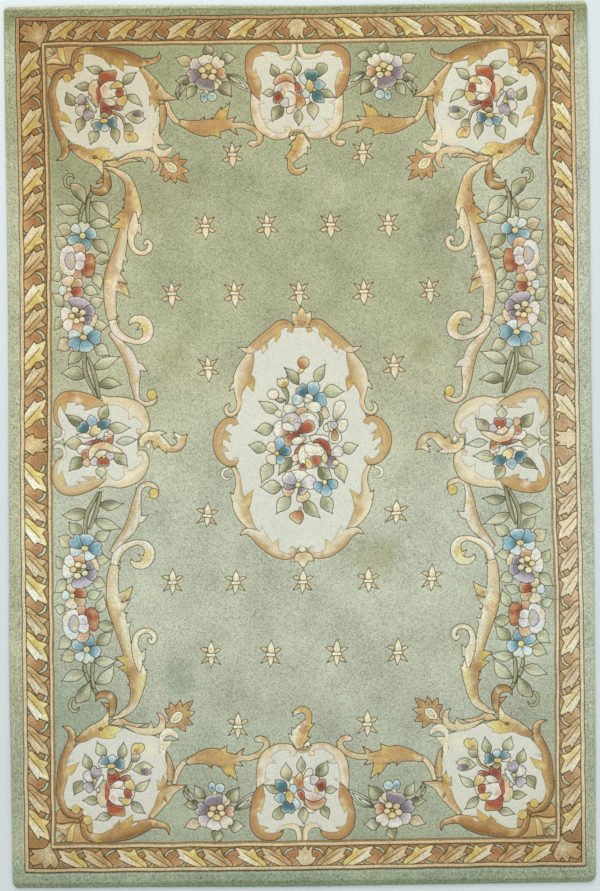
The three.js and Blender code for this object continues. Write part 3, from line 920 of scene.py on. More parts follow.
# Medallion at the middle of a long side, drawn for the left one
def drawLongMedallionFrame():
    ground([(-770, 95), (-762, 138), (-720, 158), (-660, 152), (-610, 140), (-545, 142), (-500, 122),
        (-478, 85), (-485, 45), (-503, 20), (-503, -20), (-478, -50), (-482, -95), (-520, -118),
        (-560, -130), (-610, -126), (-650, -128), (-715, -152), (-762, -128), (-774, -80), (-752, -45),
        (-735, -25), (-738, 20), (-745, 55)])
    arm([(-778, 21, 5), (-756, 19, 7), (-741, 28, 7), (-737, 42, 6), (-743, 54, 3)], "ivory", "cream",
        ink=0.8)
    arm([(-778, -6, 6), (-756, -1, 8), (-739, -12, 7), (-735, -30, 6), (-742, -46, 3)], "cream", "ivory",
        ink=0.8)
    arm([(-632, -137, 2), (-600, -122, 11), (-565, -125, 12), (-535, -112, 20), (-505, -92, 21),
        (-486, -68, 14), (-480, -44, 9), (-492, -26, 9), (-508, -33, 6)], "ivory", "sand", soft=0.9,
        flames=[(-525, -100, -549, -70, 34), (-590, -118, -606, -88, 24)],
        spots=[(-540, -100, 20, "ivory"), (-590, -118, 16, "cream"), (-478, -60, 14, "sand"),
        (-500, -24, 12, "sand")])
    arm([(-618, 158, 2), (-596, 140, 13), (-562, 138, 13), (-530, 126, 20), (-503, 107, 24), (-483, 80, 16),
        (-477, 55, 10), (-490, 37, 9), (-508, 43, 7)], "sand", "ivory", soft=1.0,
        flames=[(-515, 118, -533, 77, 36)], spots=[(-585, 140, 18, "blush"), (-540, 132, 16, "blush"),
        (-520, 105, 16, "ivory"), (-474, 85, 16, "tan"), (-498, 32, 12, "clay"), (-485, 115, 14, "sand")])
    arm([(-605, -108, 0), (-625, -116, 10), (-650, -126, 15), (-685, -140, 16), (-715, -146, 15),
        (-743, -140, 14), (-764, -120, 14), (-772, -95, 9), (-770, -70, 8), (-760, -52, 7), (-742, -34, 0)],
        "orange", "sand", soft=1.0, flames=[(-745, -125, -743, -80, 34), (-640, -108, -684, -99, 16)],
        spikes=[(-660, -124, -699, -117, 14)], spots=[(-743, -100, 18, "gold"), (-650, -112, 18, "tan"),
        (-690, -112, 14, "sand"), (-765, -62, 14, "sand"), (-620, -112, 14, "tan"), (-740, -150, 14, "tan")])
    arm([(-602, 124, 0), (-622, 131, 12), (-650, 138, 22), (-685, 151, 18), (-715, 153, 18), (-742, 147, 16),
        (-762, 130, 12), (-768, 106, 8), (-765, 84, 8), (-756, 68, 6), (-742, 51, 0)], "orange", "clay",
        soft=1.0, flames=[(-742, 140, -733, 101, 28)],
        spikes=[(-652, 122, -672, 109, 20), (-678, 140, -697, 125, 18)],
        spots=[(-735, 120, 18, "gold"), (-715, 165, 18, "rust"), (-690, 140, 14, "ivory"),
        (-650, 118, 18, "tan"), (-625, 130, 16, "tan"), (-768, 100, 16, "clay"), (-670, 160, 16, "orange")])


def drawLongMedallionSprig():
    # The twisting leaf that points from the medallion into the field
    arm([(-494, -8, 7), (-491, 10, 11), (-474, 25, 14), (-452, 24, 16), (-432, 8, 16), (-413, -9, 12),
        (-395, -16, 10), (-377, -9, 12), (-365, 8, 13), (-360, 26, 5)], "ivory", "tan", soft=0.9,
        flames=[(-452, 33, -413, 36, 20), (-452, 8, -455, -17, 24), (-432, -4, -416, -31, 20),
        (-368, 18, -394, 40, 18)], spikes=[(-370, 8, -395, 21, 12), (-360, 18, -348, 30, 16)],
        spots=[(-478, 18, 16, "straw"), (-455, 2, 16, "gold"), (-425, -15, 16, "gold"),
        (-442, 22, 14, "clay"), (-430, 36, 14, "cream"), (-395, -14, 16, "clay"), (-380, 30, 14, "ivory"),
        (-362, 10, 16, "clay"), (-492, -8, 12, "blush")])
    petal(-470, 8, -474, -18, 14, "ivory cream", "leaf", 0, 0.6)


def drawLongMedallionBouquet():
    each(leaf, (-726, 95, -664, 65, 32, "leaf herb herb", 0.08),
        (-598, 126, -624, 82, 36, "tan leaf bud", -0.06), (-532, 52, -600, 58, 36, "herb bud cream", -0.03),
        (-512, 14, -574, 8, 28, "bud mist cream"), (-733, 4, -678, 6, 42, "clay bud leaf"),
        (-718, -80, -676, -40, 38, "herb herb bud", -0.04), (-539, -66, -582, -32, 38, "bud herb bud", 0.08),
        (-620, -104, -622, -66, 34, "ivory bud bud", 0, 0))
    # blue flower
    each(petal, (-642, 26, -698, 32, 16, "ivory cream", "leaf"),
        (-636, 18, -600, 54, 22, "ice cream ice", "leaf"),
        (-662, 44, -688, 66, 40, "teal teal sky", "heart"), (-644, 56, -651, 95, 34, "ice sky ice", "leaf"),
        (-632, 54, -588, 79, 32, "teal teal sky", "leaf"),
        (-652, 30, -626, 58, 30, "gold straw straw", "heart"))
    # rose
    each(petal, (-588, 14, -600, 44, 30, "blush shell", "heart"),
        (-588, 4, -602, 31, 30, "clay rose blush", "heart"), (-652, 2, -694, -24, 30, "blush shell shell"),
        (-612, 16, -676, 1, 14, "rose wine rose", "leaf"),
        (-668, -58, -662, -14, 34, "peach clay rose clay"), (-660, -40, -672, -68, 24, "blush peach"))
    patch([(-655, -48), (-659, -22), (-648, -2), (-625, 9), (-603, 9), (-578, -4), (-553, -28), (-580, -26),
        (-594, -44), (-625, -44), (-642, -34)], spotted("blush", (-625, 0, 18, "peach"),
        (-650, -30, 12, "shell"), (-575, -15, 14, "shell"), (-612, -22, 14, "shell")))
    arm([(-640, -30, 1), (-628, -17, 2), (-608, -15, 2), (-590, -24, 2), (-556, -28, 0)], "shell", "lilac",
        ink=0.8)
    each(petal, (-604, -28, -580, -42, 26, "shell lilac lilac"),
        (-638, -38, -644, -65, 28, "shell lilac ice"), (-612, -36, -615, -69, 40, "rose rose wine", "heart"))
    dot((-611, -38), 6, "straw", squash=0.8)


# Centre medallion: an upright frame that is mirrored left to right round a tall bouquet
def drawCentreFrameHalf():
    arm([(-222, -75, 4), (-238, -83, 5), (-243, -98, 5), (-232, -109, 4), (-218, -106, 3)], "cream", "ivory",
        ink=0.8)
    arm([(-208, -72, 6), (-196, -95, 8), (-193, -125, 9), (-195, -155, 14), (-190, -185, 24),
        (-182, -212, 23), (-169, -238, 19), (-150, -262, 10), (-126, -280, 0)], "tan", "ivory", soft=1.0,
        flames=[(-172, -192, -146, -144, 30)], spikes=[(-206, -176, -219, -148, 20)],
        spots=[(-154, -160, 16, "gold"), (-166, -182, 12, "straw"), (-172, -215, 18, "orange"),
        (-205, -200, 16, "ivory"), (-196, -110, 14, "blush"), (-160, -245, 12, "tan")])
    arm([(-150, 286, 10), (-158, 262, 18), (-170, 235, 24), (-180, 205, 26), (-188, 178, 18), (-191, 152, 9),
        (-188, 126, 7), (-196, 103, 7), (-212, 92, 7), (-226, 99, 7), (-228, 116, 6), (-217, 127, 3)],
        "orange", "ivory", soft=1.0, flames=[(-164, 212, -143, 163, 38)],
        spikes=[(-202, 188, -220, 166, 18)], spots=[(-150, 178, 16, "gold"), (-165, 200, 14, "tan"),
        (-158, 240, 16, "orange"), (-196, 225, 16, "ivory"), (-188, 130, 16, "blush"),
        (-222, 108, 14, "cream"), (-205, 175, 12, "cream")])
    arm([(-198, 60, 9), (-206, 73, 9), (-226, 73, 10), (-243, 55, 12), (-254, 30, 14), (-257, 0, 15),
        (-253, -25, 13), (-240, -48, 11), (-222, -61, 9), (-204, -58, 9), (-197, -43, 6)], "tan", "orange",
        soft=1.0, flames=[(-246, 34, -217, 4, 24)],
        spikes=[(-250, -8, -223, -23, 24), (-242, 44, -212, 27, 14)],
        spots=[(-228, 16, 16, "gold"), (-235, -20, 12, "sand"), (-200, 56, 12, "clay"),
        (-262, -5, 14, "clay"), (-230, 76, 14, "orange"), (-235, -52, 12, "tan"), (-200, -40, 10, "ivory")])
    arm([(-190, -289, 0), (-170, -276, 10), (-150, -280, 14), (-132, -292, 20), (-116, -310, 21),
        (-97, -331, 17), (-75, -348, 14), (-50, -357, 10), (-29, -353, 9), (-22, -338, 8), (-31, -327, 5)],
        "ivory", "clay", soft=1.0, flames=[(-112, -295, -120, -260, 24), (-80, -336, -68, -299, 24)],
        spots=[(-72, -312, 14, "gold"), (-80, -330, 12, "straw"), (-118, -275, 14, "ivory"),
        (-60, -358, 14, "orange"), (-28, -352, 14, "orange"), (-110, -325, 14, "orange"),
        (-150, -276, 14, "cream")])
    arm([(-28, 349, 9), (-25, 364, 8), (-38, 376, 11), (-58, 373, 15), (-78, 357, 14), (-118, 321, 16),
        (-138, 304, 15), (-160, 293, 10), (-190, 303, 0)], "tan", "orange", soft=1.2,
        flames=[(-68, 356, -72, 319, 26), (-110, 318, -112, 282, 30)],
        spots=[(-70, 330, 14, "gold"), (-60, 352, 14, "gold"), (-108, 295, 14, "ivory"),
        (-150, 286, 18, "ivory"), (-42, 385, 16, "rust"), (-90, 360, 16, "orange"), (-28, 346, 10, "tan"),
        (-175, 294, 14, "ivory")])


def drawCentreFrames():
    drawCentreFrameHalf()
    placed(drawCentreFrameHalf, mirrored, (8, 0))


def drawCentreFinials():
    crown = [formed("leaf", (10, 362), (-19, 411), 32), formed("leaf", (10, 362), (39, 412), 32),
        formed("leaf", (10, 362), (10, 429), 34), stroke([(-16, 366, 4), (10, 368, 5), (36, 366, 4)])]
    shape(crown, spotted("tan", (10, 420, 16, "straw"), (-16, 404, 14, "ivory"), (34, 404, 16, "ivory"),
        (10, 374, 16, "rust")))
    carve([(1, 372), (-3, 388), (-4, 402)], ink=0.6)
    carve([(19, 372), (23, 388), (24, 402)], ink=0.6)
    foot = [formed("leaf", (5, -340), (6, -401), 34), formed("leaf", (4, -344), (-22, -377), 24),
        formed("leaf", (6, -344), (40, -377), 26)]
    shape(foot, spotted("sand", (5, -355, 16, "clay"), (5, -385, 12, "ivory")))
    dot((5, -335), 12, spotted("ivory", (5, -340, 8, "straw")), squash=0.8)


def drawCentreGround():
    half = [(5, 366), (-52, 366), (-112, 318), (-152, 276), (-164, 235), (-178, 190), (-186, 150),
        (-192, 98), (-204, 74), (-238, 58), (-250, 0), (-238, -48), (-202, -66), (-190, -110), (-188, -160),
        (-166, -218), (-140, -268), (-112, -300), (-78, -344), (-36, -350), (5, -326)]
    ground(half + [(10 - x, y) for x, y in half[-2:0:-1]])


def drawCentreBouquetTop():
    each(leaf, (-43, 236, -2, 184, 32, "herb leaf herb", -0.05),
        (80, 244, 52, 188, 33, "bud leaf cream", 0.05), (136, 163, 72, 159, 42, "leaf bud bud", 0.05),
        (-123, 131, -62, 102, 34, "leaf bud cream", 0.04), (-136, 42, -82, 55, 40, "herb bud leaf", 0.04))
    petal(-5, 218, 16, 238, 13, "straw gold")
    dot((15, 253), 18, fade((4, 242), (28, 266), "rose clay blush"))
    arm([(-52, 178, 6), (-43, 166, 8), (-36, 146, 5), (-40, 124, 3)], "herb", "leaf")
    petal(-50, 178, -54, 208, 34, "gold straw straw", "cup")
    dot((-46, 189), 6, "clay", ink=0.3)
    leaf(-74, 138, -42, 136, 15, "herb leaf", 0, 0)
    dot((-81, 155), 18, fade((-66, 150), (-98, 158), "blush shell ivory"), squash=0.9)
    petal(-6, 108, -50, 112, 30, "cream ivory")
    # blue flower
    each(petal, (14, 138, -22, 140, 36, "cream ice sky"), (24, 150, -2, 180, 38, "teal teal sky", "heart"),
        (38, 146, 48, 194, 40, "sky sky ice"), (44, 140, 86, 136, 44, "teal sky sky", "heart"),
        (18, 120, 69, 110, 34, "cream ivory ice"), (18, 128, 38, 152, 28, "ivory cream ivory"))
    carve([(15, 143), (24, 144), (33, 137), (41, 136)], ink=0.7)
    # bud at the right
    petal(78, 116, 84, 78, 24, "bud sand bud")
    arm([(58, 98, 2), (68, 86, 6), (69, 68, 5), (62, 54, 2)], "leaf", "herb")
    each(petal, (112, 76, 134, 135, 36, "bud ivory cream"), (112, 64, 150, 50, 42, "cream ivory cream"),
        (102, 66, 78, 40, 24, "herb bud cream"), (110, 50, 110, -2, 42, "blush shell shell"),
        (118, 60, 90, 52, 32, "shell ivory"), (109, 44, 110, 8, 22, "rose clay clay"))
    dot((108, 58), 12, "lilac")


def drawCentreBouquetRose():
    petal(12, 82, 6, 113, 36, "blush clay peach")
    dot((24, 60), 38, spotted("cream", (40, 40, 20, "ivory"), (10, 90, 14, "blush")), squash=0.96)
    carve([(0, 27), (22, 24), (44, 30), (58, 48)], ink=0.4)
    each(petal, (-30, 44, -83, 50, 52, "rose peach shell shell"), (-58, 84, -72, 106, 24, "shell blush"))
    patch([(-24, 98), (-48, 88), (-56, 70), (-48, 50), (-24, 38), (-4, 40), (6, 66), (-2, 88)],
        spotted("lilac", (-24, 84, 12, "shell"), (-34, 72, 10, "straw"), (-12, 54, 12, "lilac")))
    each(petal, (-40, 70, -14, 80, 12, "gold straw", "leaf", 0, 0.5),
        (-12, 42, -56, 60, 26, "ivory shell ivory"), (-8, 40, -8, 66, 20, "shell lilac", "petal", 0, 0.6),
        (-3, 36, 46, 64, 36, "wine rose rose clay"), (-4, 33, -49, -2, 34, "wine rose clay"),
        (18, 16, -26, 4, 24, "blush ivory cream"))
    # small flower at the left
    each(leaf, (-157, -4, -104, -16, 38, "bud leaf cream"),
        (-118, -117, -86, -58, 42, "leaf bud bud", -0.04), (-65, -93, -22, -42, 36, "herb herb leaf", -0.05))
    each(petal, (-76, -26, -98, 3, 34, "ivory blush ivory"), (-76, -34, -98, -60, 36, "cream ivory bud"),
        (-66, -22, -60, 22, 32, "sky sky ice"), (-64, -28, -28, -18, 32, "teal teal sky"),
        (-66, -34, -56, -63, 30, "sky sky ice"))
    dot((-72, -29), 8, "gold")


def drawCentreBouquetLow():
    each(leaf, (178, -8, 130, -26, 38, "leaf bud cream", 0.04),
        (138, -119, 116, -58, 42, "sand bud leaf", 0.05), (100, -116, 58, -74, 40, "herb herb bud", -0.03))
    each(petal, (94, -34, 135, -20, 34, "lilac shell lilac"), (88, -40, 112, -76, 34, "grape plum plum"))
    dot((112, -60), 11, "blush", squash=0.8)
    # lower rose
    each(petal, (60, -4, 62, 28, 62, "blush cream shell"), (0, -66, -26, -92, 28, "ivory blush"))
    arm([(24, 0, 2), (6, -8, 8), (-8, -32, 10), (-4, -62, 3)], "clay", "rose")
    petal(0, -30, -22, -54, 22, "blush shell")
    dot((36, -36), 42, spotted("ivory", (8, -40, 16, "cream"), (60, -20, 16, "shell")))
    arm([(40, 3, 2), (60, 8, 9), (80, -4, 11), (90, -30, 6), (88, -40, 2)], "rose", "wine")
    patch([(16, -2), (45, -6), (72, -14), (75, -32), (56, -44), (36, -42), (24, -34), (14, -18)],
        spotted("shell", (50, -22, 18, "ivory")))
    carve([(24, -26), (44, -30), (64, -26), (72, -16)], ink=0.6)
    each(petal, (76, -28, 80, -64, 20, "straw sand", "leaf"), (68, -46, 34, -60, 34, "clay rose wine"),
        (22, -44, 34, -79, 22, "straw gold straw"), (10, -62, 10, -86, 22, "wine rose"))


def drawCentreBouquetFoot():
    each(leaf, (-120, -135, -56, -134, 44, "herb bud cream"),
        (-74, -214, -30, -164, 42, "leaf bud cream", -0.04),
        (58, -230, 10, -174, 38, "herb leaf bud", -0.06), (98, -216, 72, -160, 42, "bud leaf cream", -0.04))
    each(petal, (0, -148, 16, -181, 44, "plum blush peach"), (-20, -140, -54, -152, 36, "blush peach blush"),
        (-12, -133, -52, -130, 24, "grape plum plum"), (-2, -136, 16, -156, 34, "grape plum blush"),
        (-6, -120, 2, -82, 54, "shell cream ivory"), (-16, -124, -50, -94, 40, "lilac lilac shell"),
        (2, -128, 50, -118, 44, "lilac shell lilac"))
    dot((-7, -129), 9, "straw")
    each(petal, (84, -118, 117, -133, 30, "teal sky sky"), (72, -126, 46, -146, 38, "teal sky sky"),
        (78, -126, 82, -166, 34, "sky sky ice"))
    dot((77, -121), 8, "straw")
    petal(0, -198, -3, -218, 8, "straw gold")
    patch([(-36, -227), (-22, -214), (-6, -211), (6, -216), (8, -235), (-4, -252), (-22, -243)],
        fade((-2, -215), (-25, -245), "rose clay blush"))


# Small three pointed sprigs scattered on the open field
def drawSprig():
    patch([(-11, 3, 1), (-2, 39, 1), (6, 24), (13, 3, 1)], fade((0, 0), (0, 38), "tan ivory cream"))
    patch([(-14, 3, 1), (-31, 27, 1), (-9, 18, 1), (-8, 4, 1)], fade((-8, 4), (-30, 26), "clay sand"))
    patch([(9, 5, 1), (8, 20, 1), (30, 28, 1), (14, 4, 1)], fade((8, 4), (28, 26), "clay sand"))
    patch([(-12, -5, 1), (-24, -12), (-33, -19, 1), (-22, -24), (-8, -21, 1)],
        fade((-8, -6), (-30, -20), "clay sand"))
    patch([(12, -4, 1), (23, -10), (33, -18, 1), (22, -22), (9, -14, 1)],
        fade((8, -6), (30, -20), "tan blush"))
    patch([(-8, -5, 1), (-9, -22), (2, -46, 1), (11, -20), (10, -5, 1)],
        fade((0, -5), (0, -44), "blush ivory straw"))
    patch([(-13, 4), (0, 4), (13, 4), (13, -5), (0, -5), (-13, -5)], plain("ivory"))


# The motifs: what each piece holds of them, in the order it is drawn
corner = {
    "cartouches": [drawCartoucheGround, drawFan],
    "garlands": [drawGarlandTop, drawGarlandLow, drawSpray],
    "scrolls": [drawTail, drawVine, drawCartoucheFrame, drawTipFlower, drawCartoucheFoot, drawCartoucheSide],
    "bouquets": [drawCornerBouquet],
}
shortMedallion = {"medallions": [drawShortMedallionFrame], "bouquets": [drawShortMedallionBouquet],
    "scrolls": [drawShortMedallionFoot]}
longMedallion = {"medallions": [drawLongMedallionFrame], "bouquets": [drawLongMedallionBouquet],
    "scrolls": [drawLongMedallionSprig]}
centre = {
    "medallions": [drawCentreGround, drawCentreFrames, drawCentreFinials],
    "bouquets": [drawCentreBouquetTop, drawCentreBouquetRose, drawCentreBouquetLow, drawCentreBouquetFoot],
}
sprig = {"sprigs": [drawSprig]}


def placeMotif(motif, turn=upright, shift=(0, 0)):
    for piece, parts in motif.items():
        pen["piece"] = piece
        for part in parts:
            placed(part, turn, shift)


# Rows of sprigs: y, how they are turned, and where each stands
sprigRows = [
    (906, upright, [-200, 203]), (683, upright, [-286, -95, 102, 277]),
    (472, upright, [-391, -197, 3, 200, 398]), (240, upright, [-282, 289]), (-232, flipped, [-289, 288]),
    (-449, flipped, [-396, -203, 5, 204, 391]), (-678, flipped, [-282, -97, 107, 288]),
    (-898, flipped, [-202, 198]),
]

drawGrounds()
drawBorder()
for turn in (upright, mirrored, flipped, halfTurned):
    placeMotif(corner, turn)
for turn in (upright, halfTurned):
    placeMotif(shortMedallion, turn)
    placeMotif(longMedallion, turn)
placeMotif(centre)
for y, turn, places in sprigRows:
    for x in places:
        placeMotif(sprig, turn, (x, y))


print("pattern drawn:", len(drawn), "shapes")

# How the pattern becomes a carved surface, in millimetres: depth of the cuts, dome and unevenness of the
# pile, and how close the points lie along a cut, beside it, near it and in the open; jitter is a share
# of the step between them
carving = {"depth": 2.6, "dome": 0.6, "uneven": 0.45, "weld": 0.35, "snap": 0.75, "sample": 1.2,
    "ring": 2.2, "ringCell": 1.9, "shortest": 1.0, "twoBeads": 7.5, "clear": 4.2, "fine": 5.2,
    "near": 15.0, "coarse": 20.0, "far": 19.0, "jitter": 0.3}
# Share of the depth and of the dome at distances from a cut
grooveProfile = [(0, 1), (0.8, 0.5), (2.2, 0.08), (4.0, 0)]
domeProfile = [(2, 0), (8, 1), (22, 0.5), (45, 0)]

# Hand shifts: how far the maker's drawing strays up and to the right, at heights on the rug
strayUp = [(-1350, 10), (-1265, 4), (-1215, 12), (-930, 14), (-620, 20), (-310, 18), (-160, 5), (160, 1),
    (780, 2)]
strayRight = [(-1250, 6), (-1090, 9), (-930, 9), (-620, 17), (-160, 18), (0, 13), (470, 14), (780, 10),
    (1090, 3)]
strayLeft = [(-1250, 1), (-620, -4), (-310, -8), (-160, -1), (160, -3), (470, -5), (780, -2), (1250, -3)]
# The same for the inner guard stripe and then the outer one on each long side
guardRight = [(-1040, 6), (-850, 8), (-480, 11), (-295, 5), (80, 0), (1190, 0)]
guardLeft = [(-1040, 6), (-110, 6), (260, 9), (640, 11), (950, 8), (1190, 1)]
outerRight = [(-1040, 12), (-670, 12), (-200, 8), (260, 5), (700, 6), (1190, 1)]
outerLeft = [(-1040, -4), (-500, -5), (-150, -6), (200, -2), (540, 0), (820, -1), (1190, -6)]
# Where each of them begins, counted out from the middle, and over how far it grows to its full size;
# the oval in the middle has none. Everything grows from nothing at the rug's edge, counted inward
strayZones = {"motifs": (60, 300), "guards": (735, 45), "outers": (800, 55), "edge": (20, 16)}
steadyOval = (262, 425)
wobbleSize = 0.55
# The whole drawing sits a little smaller and higher on the rug than charted
drawnSize, drawnUp = 0.996, 2.5


def insetOf(at):
    # How far points lie in from the rug's straight outline
    return np.minimum(rugSize["width"] / 2 - np.abs(at[:, 0]), rugSize["length"] / 2 - np.abs(at[:, 1]))


def strayed(at):
    x, y = at[:, 0], at[:, 1]

    def eased(right, left):
        return np.where(x > 0, np.interp(y, *zip(*right)), np.interp(y, *zip(*left)))

    def grown(zone, out):
        start, over = strayZones[zone]
        return np.clip((out - start) / over, 0, 1)

    up = eased(strayUp, strayUp) + 4 * np.clip(x / 500, 0, 1)
    motifs = eased(strayRight, strayLeft) * grown("motifs", np.abs(x))
    guards = eased(guardRight, guardLeft)
    across = motifs + grown("guards", np.abs(x)) * (guards - motifs)
    across += grown("outers", np.abs(x)) * (eased(outerRight, outerLeft) - guards)
    moved = 1 - np.exp(-(x / steadyOval[0]) ** 6 - (y / steadyOval[1]) ** 6)
    wobble = wobbleSize * np.stack([np.sin(y / 31 + 1.3) + np.sin(x / 47 + y / 23),
        np.sin(x / 29 + 0.7) + np.sin(y / 41 - x / 26)], 1)
    drawnIn = (drawnSize - 1) * at + (0, drawnUp)
    stray = drawnIn + np.stack([across, up], 1) * moved[:, None] + wobble
    return at + stray * grown("edge", insetOf(at))[:, None]


def insideOutline(at, outline):
    # Which points lie inside a closed outline
    inside = np.zeros(len(at), bool)
    x, y = at[:, 0], at[:, 1]
    for (ax, ay), (bx, by) in zip(outline, np.roll(outline, -1, axis=0)):
        if ay != by:
            inside ^= ((ay > y) != (by > y)) & (x < (bx - ax) * (y - ay) / (by - ay) + ax)
    return inside


def topShape(at):
    # The number of the last drawn shape that covers each point
    found = np.full(len(at), -1)
    order = np.argsort(at[:, 0])
    sortedX = at[order, 0]
    for number, item in enumerate(drawn):
        for outline in item["outlines"]:
            low, high = outline.min(0), outline.max(0)
            some = order[np.searchsorted(sortedX, low[0]):np.searchsorted(sortedX, high[0])]
            some = some[(at[some, 1] > low[1]) & (at[some, 1] < high[1])]
            if len(some):
                found[some[insideOutline(at[some], outline)]] = number
    return found


def triangulated(points, edges):
    found = delaunay_2d_cdt(points.tolist(), edges.tolist(), [], 0, carving["weld"], True)
    return np.array([tuple(p) for p in found[0]]), np.array(found[1]), np.array(found[2]), found[4]


def sidesOfEdges(triangles):
    # Every edge once, with the one or two triangles beside it
    corners = np.concatenate([triangles[:, [0, 1]], triangles[:, [1, 2]], triangles[:, [2, 0]]])
    pairs, which = np.unique(np.sort(corners, axis=1), axis=0, return_inverse=True)
    which, owner = which.ravel(), np.tile(np.arange(len(triangles)), 3)
    beside = np.full((len(pairs), 2), -1)
    beside[which[::-1], 0] = owner[::-1]
    beside[which, 1] = owner
    beside[beside[:, 0] == beside[:, 1], 1] = -1
    return pairs, beside


# First pass: cut the plane along every outline and keep the edges that divide two colours
points = [outline for item in drawn for outline in item["outlines"]]
closedLines = len(points)
points += [item["line"] for item in carved]
edges, lineOwner = [], []
total = 0
for number, line in enumerate(points):
    order = np.arange(len(line)) + total
    pairs = np.stack([order, np.roll(order, -1)], 1)
    if number >= closedLines:
        pairs = pairs[:-1]
    edges.append(pairs)
    lineOwner += [number - closedLines] * len(pairs)
    total += len(line)
cutPoints, cutEdges, cutTriangles, cutSources = triangulated(np.concatenate(points), np.concatenate(edges))
region = topShape(cutPoints[cutTriangles].mean(1))
edgePairs, beside = sidesOfEdges(cutTriangles)
regionA = region[beside[:, 0]]
regionB = np.where(beside[:, 1] >= 0, region[beside[:, 1]], -1)
shapeInk = np.array([item["ink"] for item in drawn] + [0.0])
shapeUnder = np.array([item["under"] for item in drawn] + [0.0])
inBouquet = np.array([item["piece"] == "bouquets" for item in drawn] + [False])
keep = regionA != regionB
onRim = (regionA < 0) | (regionB < 0)
above, below = np.maximum(regionA, regionB), np.minimum(regionA, regionB)
ink = np.where(onRim, 0, shapeInk[above] * np.where(inBouquet[above], 1, shapeUnder[below]))
sourceOf = {tuple(sorted(pair)): sources for pair, sources in zip(cutEdges.tolist(), cutSources)}
for i, pair in enumerate(edgePairs.tolist()):
    if keep[i]:
        continue
    for source in sourceOf.get(tuple(pair), ()):
        line = carved[lineOwner[source]] if lineOwner[source] >= 0 else None
        if line and line["owners"][0] <= regionA[i] <= line["owners"][1]:
            keep[i], ink[i] = True, line["ink"]
keptPairs, keptInk = edgePairs[keep], ink[keep]
print("colour boundaries:", len(keptPairs), "edges from", len(cutTriangles), "triangles")

# Second pass: rings of points beside each boundary, then points spread over the open areas
used, keptPairs = np.unique(keptPairs, return_inverse=True)
keptPairs = keptPairs.reshape(-1, 2)
keptPoints = cutPoints[used]
startPoint = keptPoints[keptPairs[:, 0]]
run = keptPoints[keptPairs[:, 1]] - startPoint
runLength = np.linalg.norm(run, axis=1)
samples, sampleInk = [], []
for steps in range(1, int(runLength.max() / carving["sample"]) + 2):
    some = np.ceil(runLength / carving["sample"]).astype(int) == steps
    for step in range(steps):
        samples.append(startPoint[some] + run[some] * (step + 0.5) / steps)
        sampleInk.append(keptInk[some])
samples, sampleInk = np.concatenate(samples), np.concatenate(sampleInk)
tree = kdtree.KDTree(len(samples))
for i, (x, y) in enumerate(samples.tolist()):
    tree.insert((x, y, 0), i)
tree.balance()


def nearestCut(at):
    # Distance to the nearest boundary and how deep that is carved
    rows = [tree.find((x, y, 0))[1:] for x, y in at.tolist()]
    return np.array([row[1] for row in rows]), sampleInk[[row[0] for row in rows]]


# Beside each edge, on both sides: one point at the middle of a short edge, two along a longer one
sideways = carving["ring"] * np.stack([-run[:, 1], run[:, 0]], 1) / np.maximum(runLength, 0.01)[:, None]
longer = runLength > carving["twoBeads"]
short = (runLength > carving["shortest"]) & ~longer
beads = [((startPoint + run * share)[some], sideways[some])
    for share, some in ((0.5, short), (0.25, longer), (0.75, longer))]
ringPoints = np.concatenate([place + side * aside for side in (1, -1) for place, aside in beads])
away, _ = nearestCut(ringPoints)
ringPoints = ringPoints[away > 0.85 * carving["ring"]]
cell = np.floor(ringPoints / carving["ringCell"]).astype(int)
_, single = np.unique(cell[:, 0] * 100000 + cell[:, 1], return_index=True)
ringPoints = ringPoints[np.sort(single)]

chance = np.random.default_rng(7)


def scattered(step, nearest, farthest):
    # Points spread over the rug, of which those between two distances from the cuts are kept
    xs = np.arange(-rugSize["width"] / 2, rugSize["width"] / 2, step)
    ys = np.arange(-rugSize["length"] / 2, rugSize["length"] / 2, step)
    spread = np.stack(np.meshgrid(xs, ys), -1).reshape(-1, 2)
    spread += chance.uniform(-carving["jitter"], carving["jitter"], spread.shape) * step
    away, _ = nearestCut(spread)
    return spread[(away > nearest) & (away < farthest)]


openPoints = np.concatenate([scattered(carving["fine"], carving["clear"], carving["near"]),
    scattered(carving["coarse"], carving["far"], math.inf)])
print("points:", len(keptPoints), "on boundaries,", len(ringPoints), "beside,", len(openPoints), "between")

allPoints = np.concatenate([keptPoints, ringPoints, openPoints])
flatPoints, _, flatTriangles, _ = triangulated(allPoints, keptPairs)
centres = flatPoints[flatTriangles].mean(1)
region = topShape(centres)
flatTriangles, region = flatTriangles[region >= 0], region[region >= 0]
depthFrom, vertexInk = nearestCut(flatPoints)
depthFrom[depthFrom < carving["snap"]] = 0
print("carved surface:", len(flatTriangles), "triangles")


def unevenness(at):
    # The pile's slow rise and fall, in millimetres
    x, y = at[:, 0], at[:, 1]
    waves = np.sin(x / 83 + 1.1 * np.sin(y / 131)) * np.sin(y / 97 + 0.8 * np.sin(x / 113))
    return carving["uneven"] * (waves + 0.4 * np.sin(x / 37 + y / 59))


placedPoints = strayed(flatPoints)
dome = carving["dome"] * np.interp(depthFrom, *zip(*domeProfile))
groove = carving["depth"] * np.interp(depthFrom, *zip(*grooveProfile))
atEdge = insetOf(flatPoints) < rugSize["flatInset"] + rugSize["tuckedIn"]
heights = rugSize["pileTop"] + unevenness(placedPoints) + np.where(atEdge, 0, vertexInk * (dome - groove))
surface = np.column_stack([placedPoints - ringMiddle, heights]) / 1000
